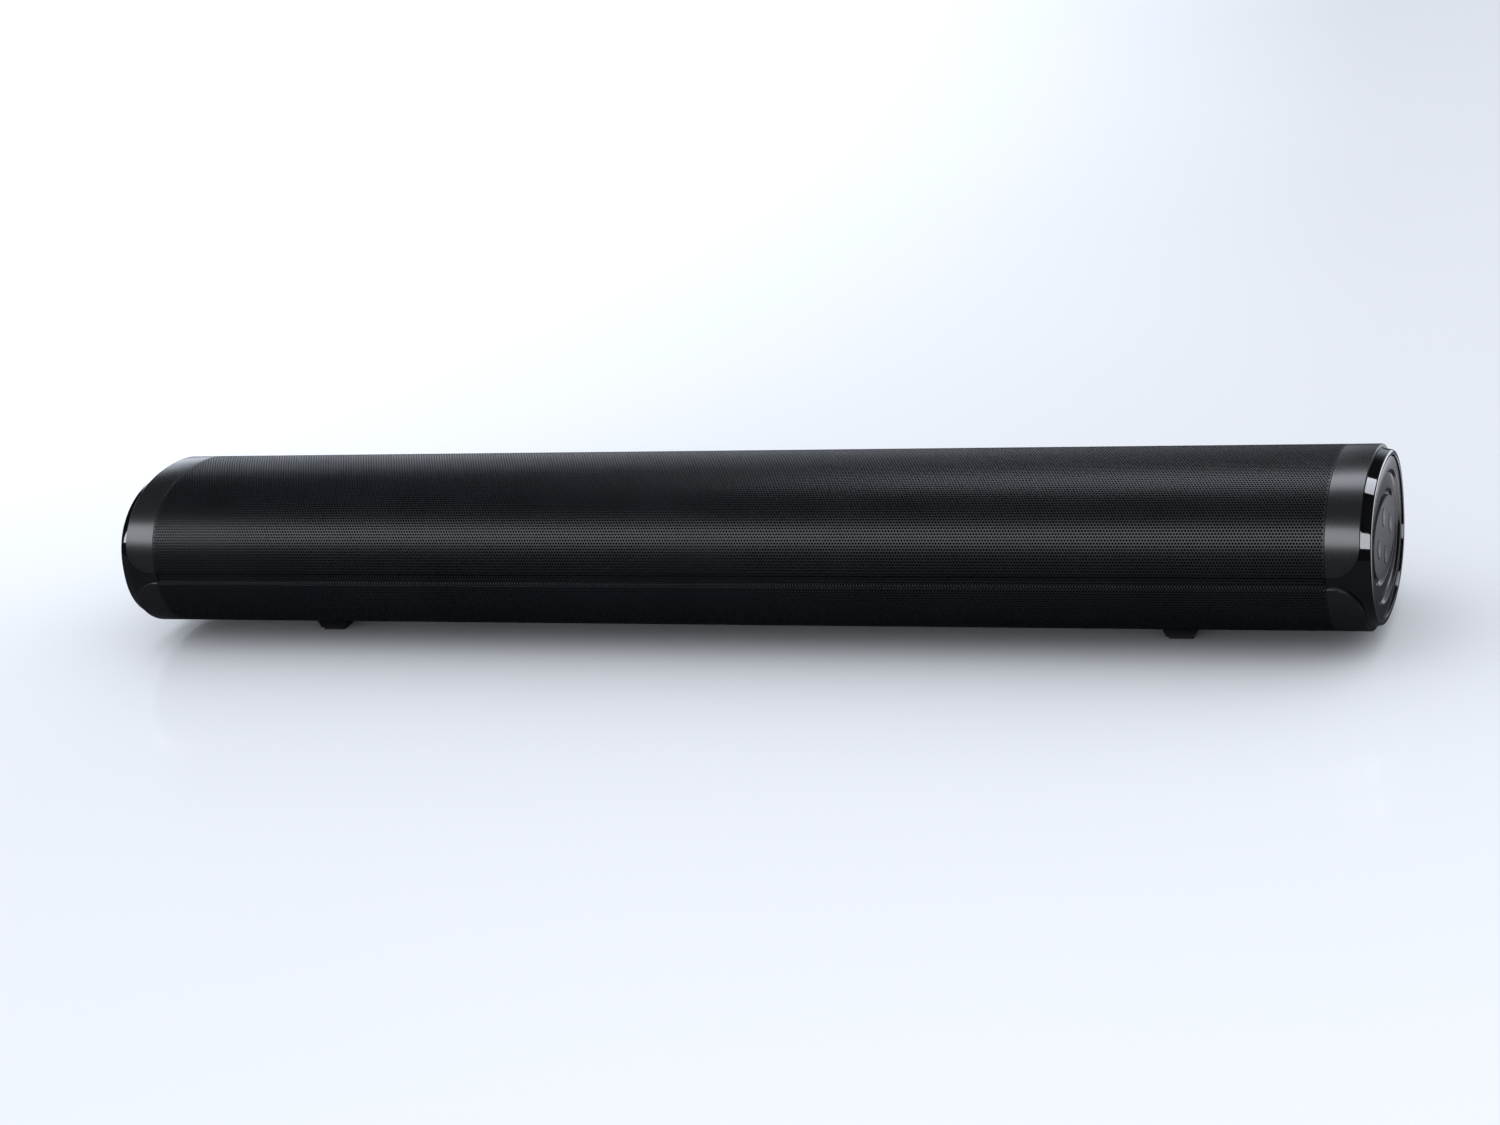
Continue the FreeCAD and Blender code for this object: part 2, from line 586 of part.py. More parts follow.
def quarter(x_start, z_start, x_end, z_end, x_first):
    """A quarter ellipse between two points; it leaves the first along X or along Z."""
    centre_x, centre_z = (x_start, z_end) if x_first else (x_end, z_start)
    shoulder = math.sqrt(0.5)
    x = centre_x + ((x_end - centre_x) + (x_start - centre_x)) * shoulder
    z = centre_z + ((z_end - centre_z) + (z_start - centre_z)) * shoulder
    start, middle, end = point(x_start, -FAR, z_start), point(x, -FAR, z), point(x_end, -FAR, z_end)
    curve = Part.BSplineCurve()
    tangents = [ALONG_X, ALONG_Z] if x_first else [ALONG_Z, ALONG_X]
    direction = [
        tangents[0] * math.copysign(1, x_end - x_start if x_first else z_end - z_start),
        tangents[1] * math.copysign(1, z_end - z_start if x_first else x_end - x_start),
    ]
    curve.interpolate(Points=[start, middle, end], InitialTangent=direction[0], FinalTangent=direction[1])
    return curve.toShape()


def petal_notch():
    """The flared gap at the front of the band, from the pressed groove out to the rim."""
    outer = inward(BAND_START - 1)
    edge = inward(BAND_START)
    inner = inward(BAND_END + 1)
    upper_x = edge - UPPER_PETAL_RADII[0]
    upper_z = GROOVE_TOP + UPPER_PETAL_RADII[1]
    lower_x = edge - LOWER_PETAL_RADII[0]
    lower_z = GROOVE_BOTTOM - LOWER_PETAL_RADII[1]

    def line(x0, z0, x1, z1):
        return Part.LineSegment(point(x0, -FAR, z0), point(x1, -FAR, z1)).toShape()

    edges = [
        line(inner, GROOVE_TOP, upper_x, GROOVE_TOP),
        quarter(upper_x, GROOVE_TOP, edge, upper_z, True),
        line(edge, upper_z, outer, upper_z),
        line(outer, upper_z, outer, lower_z),
        line(outer, lower_z, edge, lower_z),
        quarter(edge, lower_z, lower_x, GROOVE_BOTTOM, False),
        line(lower_x, GROOVE_BOTTOM, inner, GROOVE_BOTTOM),
        line(inner, GROOVE_BOTTOM, inner, GROOVE_TOP),
    ]
    return Part.Face(Part.Wire(edges)).extrude(ALONG_Y * FAR)


def end_band():
    """Satin sleeve round the cup, open at the front where its two rounded petals face each other."""
    return oval_tube(inward(BAND_END), inward(BAND_START), 0, BAND_THICKNESS).cut(petal_notch())


def end_face():
    """Dished plate: two sloped steps lead down to the seat of the centre disc."""
    plate = oval_bar(inward(FACE_BACK), inward(FACE_SETBACK), CUP_RIM_INSET + CUP_RIM_WIDTH + FIT)
    depth = FACE_SETBACK
    tools = []
    for inset in (OUTER_STEP_INSET, INNER_STEP_INSET):
        tools.append(oval_taper(inward(depth), inset, inward(depth + STEP_DEPTH), inset + STEP_SLOPE))
        tools.append(oval_bar(inward(depth), HALF + 1, inset))
        depth += STEP_DEPTH
    return cut(plate, tools)


def with_button_holes(shape):
    tools = []
    for y, z in BUTTONS.values():
        tools.append(rod(point(inward(LEDGE_DEPTH + 5), y, z), ALONG_X, BUTTON_RADIUS + BUTTON_GAP, 15))
    return cut(shape, tools)


def centre_disc():
    return oval_bar(inward(SEAT_DEPTH), inward(DISC_SETBACK), DISC_INSET)


def push_button(y, z):
    """Keycap with a retaining lip behind the plate and a stem that reaches into its switch."""
    cap = rod(point(inward(LIP_FRONT), y, z), ALONG_X, BUTTON_RADIUS, LIP_FRONT - BUTTON_FRONT)
    lip = rod(point(inward(STEM_FRONT), y, z), ALONG_X, BUTTON_RADIUS + BUTTON_LIP, BUTTON_LIP_THICKNESS)
    stem = rod(point(inward(STEM_END), y, z), ALONG_X, BUTTON_STEM_RADIUS, BUTTON_STEM)
    return fuse([cap, lip, stem])


def control_board():
    half_y, half_z = CONTROL_BOARD_SIZE[0] / 2, CONTROL_BOARD_SIZE[1] / 2
    board = box(inward(BOARD_BACK), inward(BOARD_FRONT), -half_y, half_y, -half_z, half_z)
    holes = []
    for y in (-CONTROL_POST_Y, CONTROL_POST_Y):
        for z in (-CONTROL_POST_Z, CONTROL_POST_Z):
            holes.append(rod(point(inward(BOARD_BACK + 1), y, z), ALONG_X, FINE_HOLE, 4))
    return cut(board, holes)


def tact_switches():
    half = SWITCH_SIZE / 2
    bodies = []
    for y, z in BUTTONS.values():
        body = box(inward(BOARD_FRONT), inward(SWITCH_FRONT), y - half, y + half, z - half, z + half)
        bore = rod(point(inward(SWITCH_FRONT + SWITCH_BORE), y, z), ALONG_X,
                   BUTTON_STEM_RADIUS + BUTTON_GAP, SWITCH_BORE + 1)
        bodies.append(body.cut(bore))
    return Part.makeCompound(bodies)


# ------------------------------------------------------------------ loudspeakers
def driver_origin(x):
    """Centre of a loudspeaker's mounting flange, on its front face."""
    return point(x, DRIVER_FRONT_Y, 0)


def driver_screw_places(x):
    """Undersides of the four screw heads on one loudspeaker."""
    reach = DRIVER_SCREW_CIRCLE * math.sqrt(0.5)
    return [point(x + i * reach, DRIVER_FRONT_Y, j * reach) for i in (-1, 1) for j in (-1, 1)]


def driver_frame(x):
    """Pressed basket: flange, conical wall with four windows, and a shelf for the spider."""
    inner = DRIVER_WALL_RADIUS - BASKET_SHEET
    hole = COIL_RADIUS + COIL_WINDING + 1.4
    shelf = SPIDER_DEPTH + 0.5
    outline = straight(
        (inner, 0), (DRIVER_RADIUS, 0), (DRIVER_RADIUS, DRIVER_FLANGE), (DRIVER_WALL_RADIUS, DRIVER_FLANGE),
        (DRIVER_WALL_RADIUS, 5.6), (NECK_RADIUS, shelf + 0.4), (NECK_RADIUS, TOP_PLATE_DEPTH),
        (hole, TOP_PLATE_DEPTH), (hole, TOP_PLATE_DEPTH - 1.5), (NECK_RADIUS - 2.5, TOP_PLATE_DEPTH - 1.5),
        (NECK_RADIUS - 2.5, shelf), (NECK_RADIUS - BASKET_SHEET, shelf), (inner, 5))
    frame = spin(outline, driver_origin(x), ALONG_Y)
    low, high = DRIVER_FRONT_Y + 6.5, DRIVER_FRONT_Y + 12.5
    windows = [
        box(x - FAR, x + FAR, low, high, -6, 6),
        box(x - 6, x + 6, low, high, -FAR, FAR),
    ]
    frame = cut(frame, windows)
    tag = box(x - TAG_HALF, x + TAG_HALF, DRIVER_FRONT_Y + TAG_DEPTH[0], DRIVER_FRONT_Y + TAG_DEPTH[1],
              TAG_LOW, TAG_HIGH)
    tag = tag.cut(rod(driver_origin(x), ALONG_Y, NECK_RADIUS - 0.6, MOTOR_DEPTH))
    holes = [rod(place - ALONG_Y, ALONG_Y, FINE_HOLE, DRIVER_FLANGE + 2)
             for place in driver_screw_places(x)]
    return cut(fuse([frame, tag]), holes)


def driver_motor(x):
    """Top plate, ring magnet and back plate with its pole, stacked behind the frame."""
    bore = COIL_RADIUS + COIL_WINDING + COIL_GAP
    pole = COIL_RADIUS - 2 * FORMER_SHEET
    pole_depth = TOP_PLATE_DEPTH + 0.3
    top_plate = MAGNET_RADIUS - 2.5
    back_plate = MAGNET_RADIUS - 1.5
    magnet_hole = bore + 2.9
    outline = straight(
        (bore, TOP_PLATE_DEPTH), (top_plate, TOP_PLATE_DEPTH), (top_plate, MAGNET_DEPTH),
        (MAGNET_RADIUS, MAGNET_DEPTH), (MAGNET_RADIUS, BACK_PLATE_DEPTH), (back_plate, BACK_PLATE_DEPTH),
        (back_plate, MOTOR_DEPTH), (0, MOTOR_DEPTH), (0, pole_depth), (pole, pole_depth),
        (pole, BACK_PLATE_DEPTH), (magnet_hole, BACK_PLATE_DEPTH), (magnet_hole, MAGNET_DEPTH),
        (bore, MAGNET_DEPTH))
    return spin(outline, driver_origin(x), ALONG_Y)


def driver_cone(x):
    """Paper cone, dust cap, former and coil, glued into one moving piece."""
    inside = COIL_RADIUS - FORMER_SHEET
    winding = COIL_RADIUS + COIL_WINDING
    coil_start, coil_end = COIL_DEPTH

    def dome(crown, edge):
        """Depth half-way out on a spherical cap that reaches the former at its edge."""
        rise = edge - crown
        ball = (inside ** 2 + rise ** 2) / (2 * rise)
        return crown + ball - math.sqrt(ball ** 2 - inside ** 2 / 4)

    outline = [
        (CONE_RADIUS, 0.6, None), (CONE_RADIUS, 1.2, None), (winding, CONE_DEPTH, None),
        (COIL_RADIUS, CONE_DEPTH, None), (COIL_RADIUS, coil_start, None), (winding, coil_start, None),
        (winding, coil_end, None), (inside, coil_end, None), (inside, 8.6, (inside / 2, dome(6.3, 8.6))),
        (0, 6.3, None), (0, 5.7, (inside / 2, dome(5.7, 8))), (inside, 8, None)]
    return spin(outline, driver_origin(x), ALONG_Y)


def driver_surround(x):
    """Half-roll rubber edge between the flange and the cone."""
    outer = DRIVER_WALL_RADIUS
    inner = DRIVER_WALL_RADIUS - BASKET_SHEET
    middle = (CONE_RADIUS + inner) / 2
    outline = [
        (outer, 0, None), (outer, -0.5, None), (inner, -0.5, (middle, -2.1)), (CONE_RADIUS, 0.6, None),
        (CONE_RADIUS, 1.2, (middle, -1.5)), (inner, 0, None)]
    return spin(outline, driver_origin(x), ALONG_Y)


def driver_spiders():
    """Corrugated cloth discs that centre the coils."""
    radii = [COIL_RADIUS + reach for reach in (0, 1.4, 2.7, 4.0, 5.3, SPIDER_WIDTH)]
    waves = [0.0, -0.9, 0.0, -0.9, 0.0, 0.0]
    near = [(radius, SPIDER_DEPTH + wave) for radius, wave in zip(radii, waves)]
    far = [(radius, SPIDER_DEPTH + 0.5 + wave) for radius, wave in zip(radii, waves)]
    outline = straight(*near, *reversed(far))
    return Part.makeCompound([spin(outline, driver_origin(x), ALONG_Y) for x in DRIVER_X])


def driver_gaskets():
    rings = []
    for x in DRIVER_X:
        start = point(x, GASKET_FRONT_Y, 0)
        ring = rod(start, ALONG_Y, DRIVER_RADIUS - 0.4, GASKET)
        ring = ring.cut(rod(start, ALONG_Y, DRIVER_HOLE_RADIUS, GASKET))
        holes = [rod(place, ALONG_Y, 1.4, 5) for place in driver_screw_places(x)]
        rings.append(cut(ring, holes))
    return Part.makeCompound(rings)


def bass_port(x):
    """Tube with a flared mouth whose lip follows the curve of the cabinet's back."""
    inner_end = REAR_Y - BASS_PORT_LENGTH
    outer = BASS_PORT_BORE + BASS_PORT_WALL
    lip = outer + BASS_PORT_LIP
    outline = [
        (BASS_PORT_BORE, 0, None), (BASS_PORT_BORE, BASS_PORT_LENGTH - 11,
                                    (BASS_PORT_BORE + 1.4, BASS_PORT_LENGTH - 4.5)),
        (lip - 1.2, BASS_PORT_LENGTH + 0.5, None), (lip, BASS_PORT_LENGTH + 0.5, None),
        (lip, BASS_PORT_LENGTH - 6, None), (outer, BASS_PORT_LENGTH - 6, None), (outer, 0, None)]
    tube = spin(outline, point(x, inner_end, 0), ALONG_Y)
    return tube.common(oval_bar(x - 50, x + 50, FIT))


# ------------------------------------------------------------------ rear panel and electronics


def socket_block(name, grow):
    """Outside of a socket: it stands on the main board and reaches through the jack plate."""
    width, height, depth = SOCKET_BODY[name]
    x = SOCKETS[name]
    return box(x - width / 2 - grow, x + width / 2 + grow, JACK_PLATE_Y - depth, JACK_PLATE_Y,
               BOARD_TOP - grow, BOARD_TOP + height + grow)


def socket_centre(name):
    return point(SOCKETS[name], JACK_PLATE_Y, BOARD_TOP + SOCKET_BODY[name][1] / 2)


def dc_socket():
    centre = socket_centre("dc_socket")
    bore = rod(centre - ALONG_Y * 9.5, ALONG_Y, 3.15, 10.5)
    pin = rod(centre - ALONG_Y * 10, ALONG_Y, 1.0, 9)
    return fuse([socket_block("dc_socket", 0).cut(bore), pin])


def aux_socket():
    centre = socket_centre("aux_socket")
    return socket_block("aux_socket", 0).cut(rod(centre - ALONG_Y * 11, ALONG_Y, 1.8, 12))


def optical_socket():
    centre = socket_centre("optical_socket")
    mouth = Part.makeBox(6.4, 8, 6.4, centre - FreeCAD.Vector(3.2, 7, 3.2))
    return socket_block("optical_socket", 0).cut(mouth)


def usb_socket():
    centre = socket_centre("usb_socket")
    mouth = Part.makeBox(12.8, 13, 5.6, centre - FreeCAD.Vector(6.4, 12, 2.8))
    tongue = Part.makeBox(11.2, 10, 1.4, centre - FreeCAD.Vector(5.6, 12.5, -1.0))
    return fuse([socket_block("usb_socket", 0).cut(mouth), tongue])


def jack_tray():
    """Sunken plate that holds the sockets, with walls out to the cabinet's back and two screw ears."""
    half_x, half_z = JACK_WINDOW[0] / 2 - FIT, JACK_WINDOW[1] / 2 - FIT
    back = JACK_PLATE_Y - JACK_WALL
    tray = box(-half_x, half_x, back, REAR_Y, -half_z, half_z)
    tray = tray.cut(box(-half_x + JACK_WALL, half_x - JACK_WALL, JACK_PLATE_Y, REAR_Y + 1,
                        -half_z + JACK_WALL, half_z - JACK_WALL))
    tray = tray.common(oval_bar(-FAR / 4, FAR / 4, FIT))
    ears = []
    for side in (-1, 1):
        x0, x1 = sorted((side * (half_x - 1), side * (half_x + JACK_EAR)))
        ears.append(box(x0, x1, REAR_Y - EAR_SETBACK, REAR_Y - EAR_SETBACK + EAR_THICKNESS, -5, 5))
    tray = fuse([tray] + ears)
    holes = [rod(point(side * JACK_EAR_X, REAR_Y - 10, 0), ALONG_Y, BOARD_HOLE, 4.5) for side in (-1, 1)]
    openings = [socket_block(name, FIT) for name in SOCKETS]
    return cut(tray, holes + openings)


def main_board():
    """Board with the lead connectors at its front corners and the amplifier chip under its heat sink."""
    half_x = BOARD_SIZE[0] / 2
    front = BOARD_REAR_Y - BOARD_SIZE[1]
    board = box(-half_x, half_x, front, BOARD_REAR_Y, BOARD_TOP - BOARD_THICKNESS, BOARD_TOP)
    plugs = []
    for side in (-1, 1):
        x0, x1 = sorted((side * (half_x - 11), side * (half_x - 3)))
        plugs.append(box(x0, x1, SPEAKER_LEAD_Y - 3, SPEAKER_LEAD_Y + 3, BOARD_TOP - 0.5, SPEAKER_LEAD_Z + 3))
    holes = [rod(point(side * BOARD_POST_X, y, BOARD_TOP - 5), ALONG_Z, BOARD_HOLE, 12)
             for side in (-1, 1) for y in BOARD_POST_Y]
    chip = box(-9, 9, HEAT_SINK_Y + 8, HEAT_SINK_Y + 22, BOARD_TOP - 0.5, BOARD_TOP + CHIP)
    return cut(fuse([board, chip] + plugs), holes)


def heat_sink():
    """Extruded base with upright fins."""
    length, depth, height = HEAT_SINK_SIZE
    base_bottom = BOARD_TOP + CHIP
    base = box(-length / 2, length / 2, HEAT_SINK_Y, HEAT_SINK_Y + depth, base_bottom, base_bottom + 3)
    fins = []
    for index in range(FIN_COUNT):
        x = -length / 2 + index * (length - FIN_SHEET) / (FIN_COUNT - 1)
        fins.append(box(x, x + FIN_SHEET, HEAT_SINK_Y, HEAT_SINK_Y + depth, base_bottom + 2.5,
                        base_bottom + height))
    return fuse([base] + fins)


def capacitors():
    return Part.makeCompound([rod(point(x, y, BOARD_TOP), ALONG_Z, 5.0, 16)
                              for x in (-41, 41) for y in (-6, 7)])


def filter_coils():
    coils = []
    for x in (-25.5, -8.5, 8.5, 25.5):
        block = box(x - 5, x + 5, 20, 30, BOARD_TOP, BOARD_TOP + 6)
        coils.append(block.cut(rod(point(x, 25, BOARD_TOP + 5), ALONG_Z, 2.5, 2)))
    return Part.makeCompound(coils)


def wireless_module():
    """Small daughter board with a metal can over its radio."""
    board = box(33, 51, 15.5, 30.5, BOARD_TOP, BOARD_TOP + 1)
    can = box(34.5, 45, 17, 29, BOARD_TOP + 0.8, BOARD_TOP + 3)
    return fuse([board, can])


def indicator_board():
    return box(-18, 18, BAFFLE_FRONT_Y - LAMP_BOARD, BAFFLE_FRONT_Y, LAMP_BOARD_Z - 6, LAMP_BOARD_Z + 6)


def status_lamps():
    lamps = []
    for x in LAMP_X:
        start = point(x, BAFFLE_FRONT_Y - LAMP_BOARD, LAMP_BOARD_Z)
        stem = rod(start, ALONG_Y * -1, LAMP_RADIUS, 3)
        dome = Part.makeSphere(LAMP_RADIUS, start - ALONG_Y * 3)
        lamps.append(fuse([stem, dome]))
    return Part.makeCompound(lamps)


def remote_receiver():
    front = BAFFLE_FRONT_Y - LAMP_BOARD
    block = box(RECEIVER_X - 3, RECEIVER_X + 3, front - 3, front, LAMP_BOARD_Z - 4, LAMP_BOARD_Z + 4)
    dome = Part.makeSphere(RECEIVER_RADIUS, point(RECEIVER_X, front - 3, LAMP_BOARD_Z))
    return fuse([block, dome])


def speaker_leads():
    """One lead from the board to each inner driver, and a link from there to the outer one."""
    inner_x = min(abs(x) for x in DRIVER_X)
    outer_x = max(abs(x) for x in DRIVER_X)
    route = [
        point(BOARD_SIZE[0] / 2 - 3, SPEAKER_LEAD_Y, SPEAKER_LEAD_Z),
        point(CHAMBER_WALL_X + 18, SPEAKER_LEAD_Y, SPEAKER_LEAD_Z),
        point(CHAMBER_WALL_X + 50, LINK_Y + 2, LINK_Z + 4),
        point(LINK_START_X, LINK_Y, LINK_Z),
        point(inner_x - TAG_HALF, LINK_Y, LINK_Z),
    ]
    long_lead = lead(route, SPEAKER_LEAD_RADIUS)
    link = rod(point(inner_x + TAG_HALF, LINK_Y, LINK_Z), ALONG_X, SPEAKER_LEAD_RADIUS,
               outer_x - inner_x - 2 * TAG_HALF)
    return Part.makeCompound([long_lead, link, mirrored(long_lead), mirrored(link)])


def control_lead():
    exit_y, exit_z = CONTROL_LEAD_EXIT
    route = [
        point(inward(BOARD_BACK), exit_y, exit_z),
        point(inward(BOARD_BACK + 25), exit_y, exit_z),
        point(inward(BOARD_BACK + 60), CONTROL_LEAD_Y, CONTROL_LEAD_Z),
        point(BOARD_POST_X + 2, CONTROL_LEAD_Y, CONTROL_LEAD_Z),
        point(BOARD_POST_X + 2, CONTROL_LEAD_Y, BOARD_TOP - BOARD_THICKNESS),
    ]
    return lead(route, CONTROL_LEAD_RADIUS)


# ------------------------------------------------------------------ feet
FOOT_BOTTOM = PAD_THICKNESS - AXIS_Z


def foot(x):
    """Saddle block, narrower at the floor, hollowed for its screw head."""
    top_z = -BODY_HEIGHT / 2 + 4
    half_top, half_bottom = FOOT_TOP_WIDTH / 2, FOOT_BOTTOM_WIDTH / 2
    corners = [(-half_bottom, FOOT_BOTTOM), (half_bottom, FOOT_BOTTOM), (half_top, -BODY_HEIGHT / 2),
               (half_top, top_z), (-half_top, top_z), (-half_top, -BODY_HEIGHT / 2)]
    outline = [point(x + dx, -FOOT_DEPTH / 2, z) for dx, z in corners]
    block = Part.Face(Part.makePolygon(outline + outline[:1])).extrude(ALONG_Y * FOOT_DEPTH)
    block = block.cut(oval_bar(x - 20, x + 20, 0))
    hole = rod(point(x, 0, FOOT_BOTTOM - 1), ALONG_Z, CASE_HOLE, 12)
    head = rod(point(x, 0, FOOT_BOTTOM - 1), ALONG_Z, 3.3, 3.2)
    return cut(block, [hole, head])


def foot_pads():
    half_x = FOOT_BOTTOM_WIDTH / 2 - PAD_MARGIN
    half_y = FOOT_DEPTH / 2 - PAD_MARGIN
    return Part.makeCompound([box(x - half_x, x + half_x, -half_y, half_y, -AXIS_Z, FOOT_BOTTOM)
                              for x in (-FOOT_X, FOOT_X)])


# ------------------------------------------------------------------ fasteners and seals
def driver_screws():
    return Part.makeCompound([screw(place, ALONG_Y, FINE_SCREW_RADIUS, DRIVER_SCREW_LENGTH)
                              for x in DRIVER_X for place in driver_screw_places(x)])


def case_screws():
    """The same screw holds the baffle on from the front and each foot from below."""
    places = [(point(x, BAFFLE_FRONT_Y, side * BAFFLE_BOSS_Z), ALONG_Y)
              for x in BAFFLE_SCREW_X for side in (-1, 1)]
    places += [(point(x, 0, FOOT_BOTTOM + FOOT_SCREW_DEPTH), ALONG_Z) for x in (-FOOT_X, FOOT_X)]
    shapes = [screw(place, direction, CASE_SCREW_RADIUS, CASE_SCREW_LENGTH) for place, direction in places]
    return Part.makeCompound(shapes)


def end_cap_screws():
    shapes = []
    for y in (-END_BOSS_Y, END_BOSS_Y):
        for z in (-END_BOSS_Z, END_BOSS_Z):
            head = point(inward(CUP_FLOOR_FRONT), y, z)
            right = screw(head, ALONG_X * -1, CASE_SCREW_RADIUS, END_SCREW_LENGTH)
            shapes += [right, mirrored(right)]
    return Part.makeCompound(shapes)


def board_screws():
    """Main board on its posts, jack tray on its ears and the control board in its cup."""
    shapes = [screw(point(side * BOARD_POST_X, y, BOARD_TOP), ALONG_Z * -1, BOARD_SCREW_RADIUS,
                    BOARD_SCREW_LENGTH) for side in (-1, 1) for y in BOARD_POST_Y]
    shapes += [screw(point(side * JACK_EAR_X, REAR_Y - EAR_SETBACK, 0), ALONG_Y, BOARD_SCREW_RADIUS,
                     EAR_SCREW_LENGTH) for side in (-1, 1)]
    for y in (-CONTROL_POST_Y, CONTROL_POST_Y):
        for z in (-CONTROL_POST_Z, CONTROL_POST_Z):
            head = point(inward(BOARD_FRONT), y, z)
            shapes.append(screw(head, ALONG_X * -1, FINE_SCREW_RADIUS, CONTROL_SCREW_LENGTH))
    return Part.makeCompound(shapes)


def end_gaskets():
    """Foam rings between the cabinet and the end cups, with a straight run along the baffle."""
    x0, x1 = SHELL_HALF, SHELL_HALF + GASKET
    section = oval_bar(x0, x1, REBATE + 0.3)
    ring = section.cut(oval_bar(x0 - 1, x1 + 1, WALL))
    run = section.common(box(x0, x1, BAFFLE_FRONT_Y, BAFFLE_BACK_Y, -FAR, FAR))
    ring = fuse([ring.cut(box(x0 - 1, x1 + 1, -FAR, BAFFLE_BACK_Y, -FAR, FAR)), run])
    return Part.makeCompound([ring, mirrored(ring)])


# ------------------------------------------------------------------ write every piece
def main():
    save("cabinet_shell", cabinet_shell())
    save("front_grille", front_grille())
    save("front_baffle", front_baffle())
    cup = end_cup()
    band = end_band()
    face = end_face()
    disc = centre_disc()
    save("end_cup_right", end_cup_with_posts())
    save("end_cup_left", mirrored(cup))
    save("end_band_right", band)
    save("end_band_left", mirrored(band))
    save("end_face_right", with_button_holes(face))
    save("end_face_left", mirrored(face))
    save("control_disc", with_button_holes(disc))
    save("blank_disc", mirrored(disc))
    for name, (y, z) in BUTTONS.items():
        save(name, push_button(y, z))
    save("control_board", control_board())
    save("tact_switches", tact_switches())
    for number, x in enumerate(DRIVER_X, start=1):
        save(f"driver_{number}_frame", driver_frame(x))
        save(f"driver_{number}_motor", driver_motor(x))
        save(f"driver_{number}_cone", driver_cone(x))
        save(f"driver_{number}_surround", driver_surround(x))
    save("driver_spiders", driver_spiders())
    save("driver_gaskets", driver_gaskets())
    save("bass_port_left", bass_port(-BASS_PORT_X))
    save("bass_port_right", bass_port(BASS_PORT_X))
    save("jack_tray", jack_tray())
    save("dc_socket", dc_socket())
    save("aux_socket", aux_socket())
    save("optical_socket", optical_socket())
    save("usb_socket", usb_socket())
    save("main_board", main_board())
    save("heat_sink", heat_sink())
    save("capacitors", capacitors())
    save("filter_coils", filter_coils())
    save("wireless_module", wireless_module())
    save("indicator_board", indicator_board())
    save("status_lamps", status_lamps())
    save("remote_receiver", remote_receiver())
    save("speaker_leads", speaker_leads())
    save("control_lead", control_lead())
    save("foot_left", foot(-FOOT_X))
    save("foot_right", foot(FOOT_X))
    save("foot_pads", foot_pads())
    save("driver_screws", driver_screws())
    save("case_screws", case_screws())
    save("end_cap_screws", end_cap_screws())
    save("board_screws", board_screws())
    save("end_gaskets", end_gaskets())


main()
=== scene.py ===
"""Studio model of an oval-section soundbar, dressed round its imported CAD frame.

The bar lies along X with its control end at +X, its perforated front faces -Y and Z is up. Sizes in
the classes are millimetres, and every mesh is made in metres in the frame's own coordinates.
"""
import json
import logging
import math
from dataclasses import dataclass, field
from enum import Enum
from typing import NamedTuple

import bpy
import numpy as np
from mathutils import Matrix, Vector

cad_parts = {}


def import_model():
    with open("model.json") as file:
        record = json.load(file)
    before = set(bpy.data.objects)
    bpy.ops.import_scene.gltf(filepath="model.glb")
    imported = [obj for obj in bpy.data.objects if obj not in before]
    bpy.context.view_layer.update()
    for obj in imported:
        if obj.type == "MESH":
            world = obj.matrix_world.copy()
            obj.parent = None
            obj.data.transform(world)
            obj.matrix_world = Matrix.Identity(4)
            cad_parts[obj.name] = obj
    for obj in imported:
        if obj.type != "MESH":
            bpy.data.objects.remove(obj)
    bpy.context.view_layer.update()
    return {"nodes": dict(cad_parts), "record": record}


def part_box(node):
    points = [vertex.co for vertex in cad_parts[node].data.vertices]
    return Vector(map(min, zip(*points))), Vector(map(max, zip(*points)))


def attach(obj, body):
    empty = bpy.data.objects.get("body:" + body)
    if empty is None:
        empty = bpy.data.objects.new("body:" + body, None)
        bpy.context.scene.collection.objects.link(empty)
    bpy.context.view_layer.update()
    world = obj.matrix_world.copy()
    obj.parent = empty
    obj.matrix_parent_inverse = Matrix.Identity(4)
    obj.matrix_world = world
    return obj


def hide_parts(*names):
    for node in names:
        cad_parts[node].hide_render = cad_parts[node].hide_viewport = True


MM = 0.001
SHARP_DEGREES = 32.0        # edges that turn by more than this stay crisp
ROUND_SIDES = 64            # sides of a keycap or of its hole
LOG = logging.getLogger("soundbar")
Outline = list[tuple[float, float]]


# ------------------------------------------------------------------ finishes
def linear(hex_colour: str) -> tuple[float, float, float, float]:
    """Turns an sRGB hex colour into linear colour.

    Args:
        hex_colour: a colour such as "#1a1b1e".

    Returns:
        Linear red, green, blue and an alpha of one.
    """
    channels = [int(hex_colour[start:start + 2], 16) / 255 for start in (1, 3, 5)]
    straight = [c / 12.92 if c <= 0.04045 else ((c + 0.055) / 1.055) ** 2.4 for c in channels]
    return (straight[0], straight[1], straight[2], 1.0)


def add_node(tree: bpy.types.NodeTree, kind: str, settings: dict | None = None,
             values: dict | None = None, links: dict | None = None) -> bpy.types.Node:
    """Adds a node to a tree with its settings, input values and links.

    Args:
        tree: the node tree.
        kind: the node's type name.
        settings: properties of the node itself.
        values: plain values for its inputs, by name or number.
        links: sockets that feed its inputs, by name or number.

    Returns:
        The new node.
    """
    node = tree.nodes.new(kind)
    for name, value in (settings or {}).items():
        setattr(node, name, value)
    for key, value in (values or {}).items():
        node.inputs[key].default_value = value
    for key, source in (links or {}).items():
        tree.links.new(source, node.inputs[key])
    return node


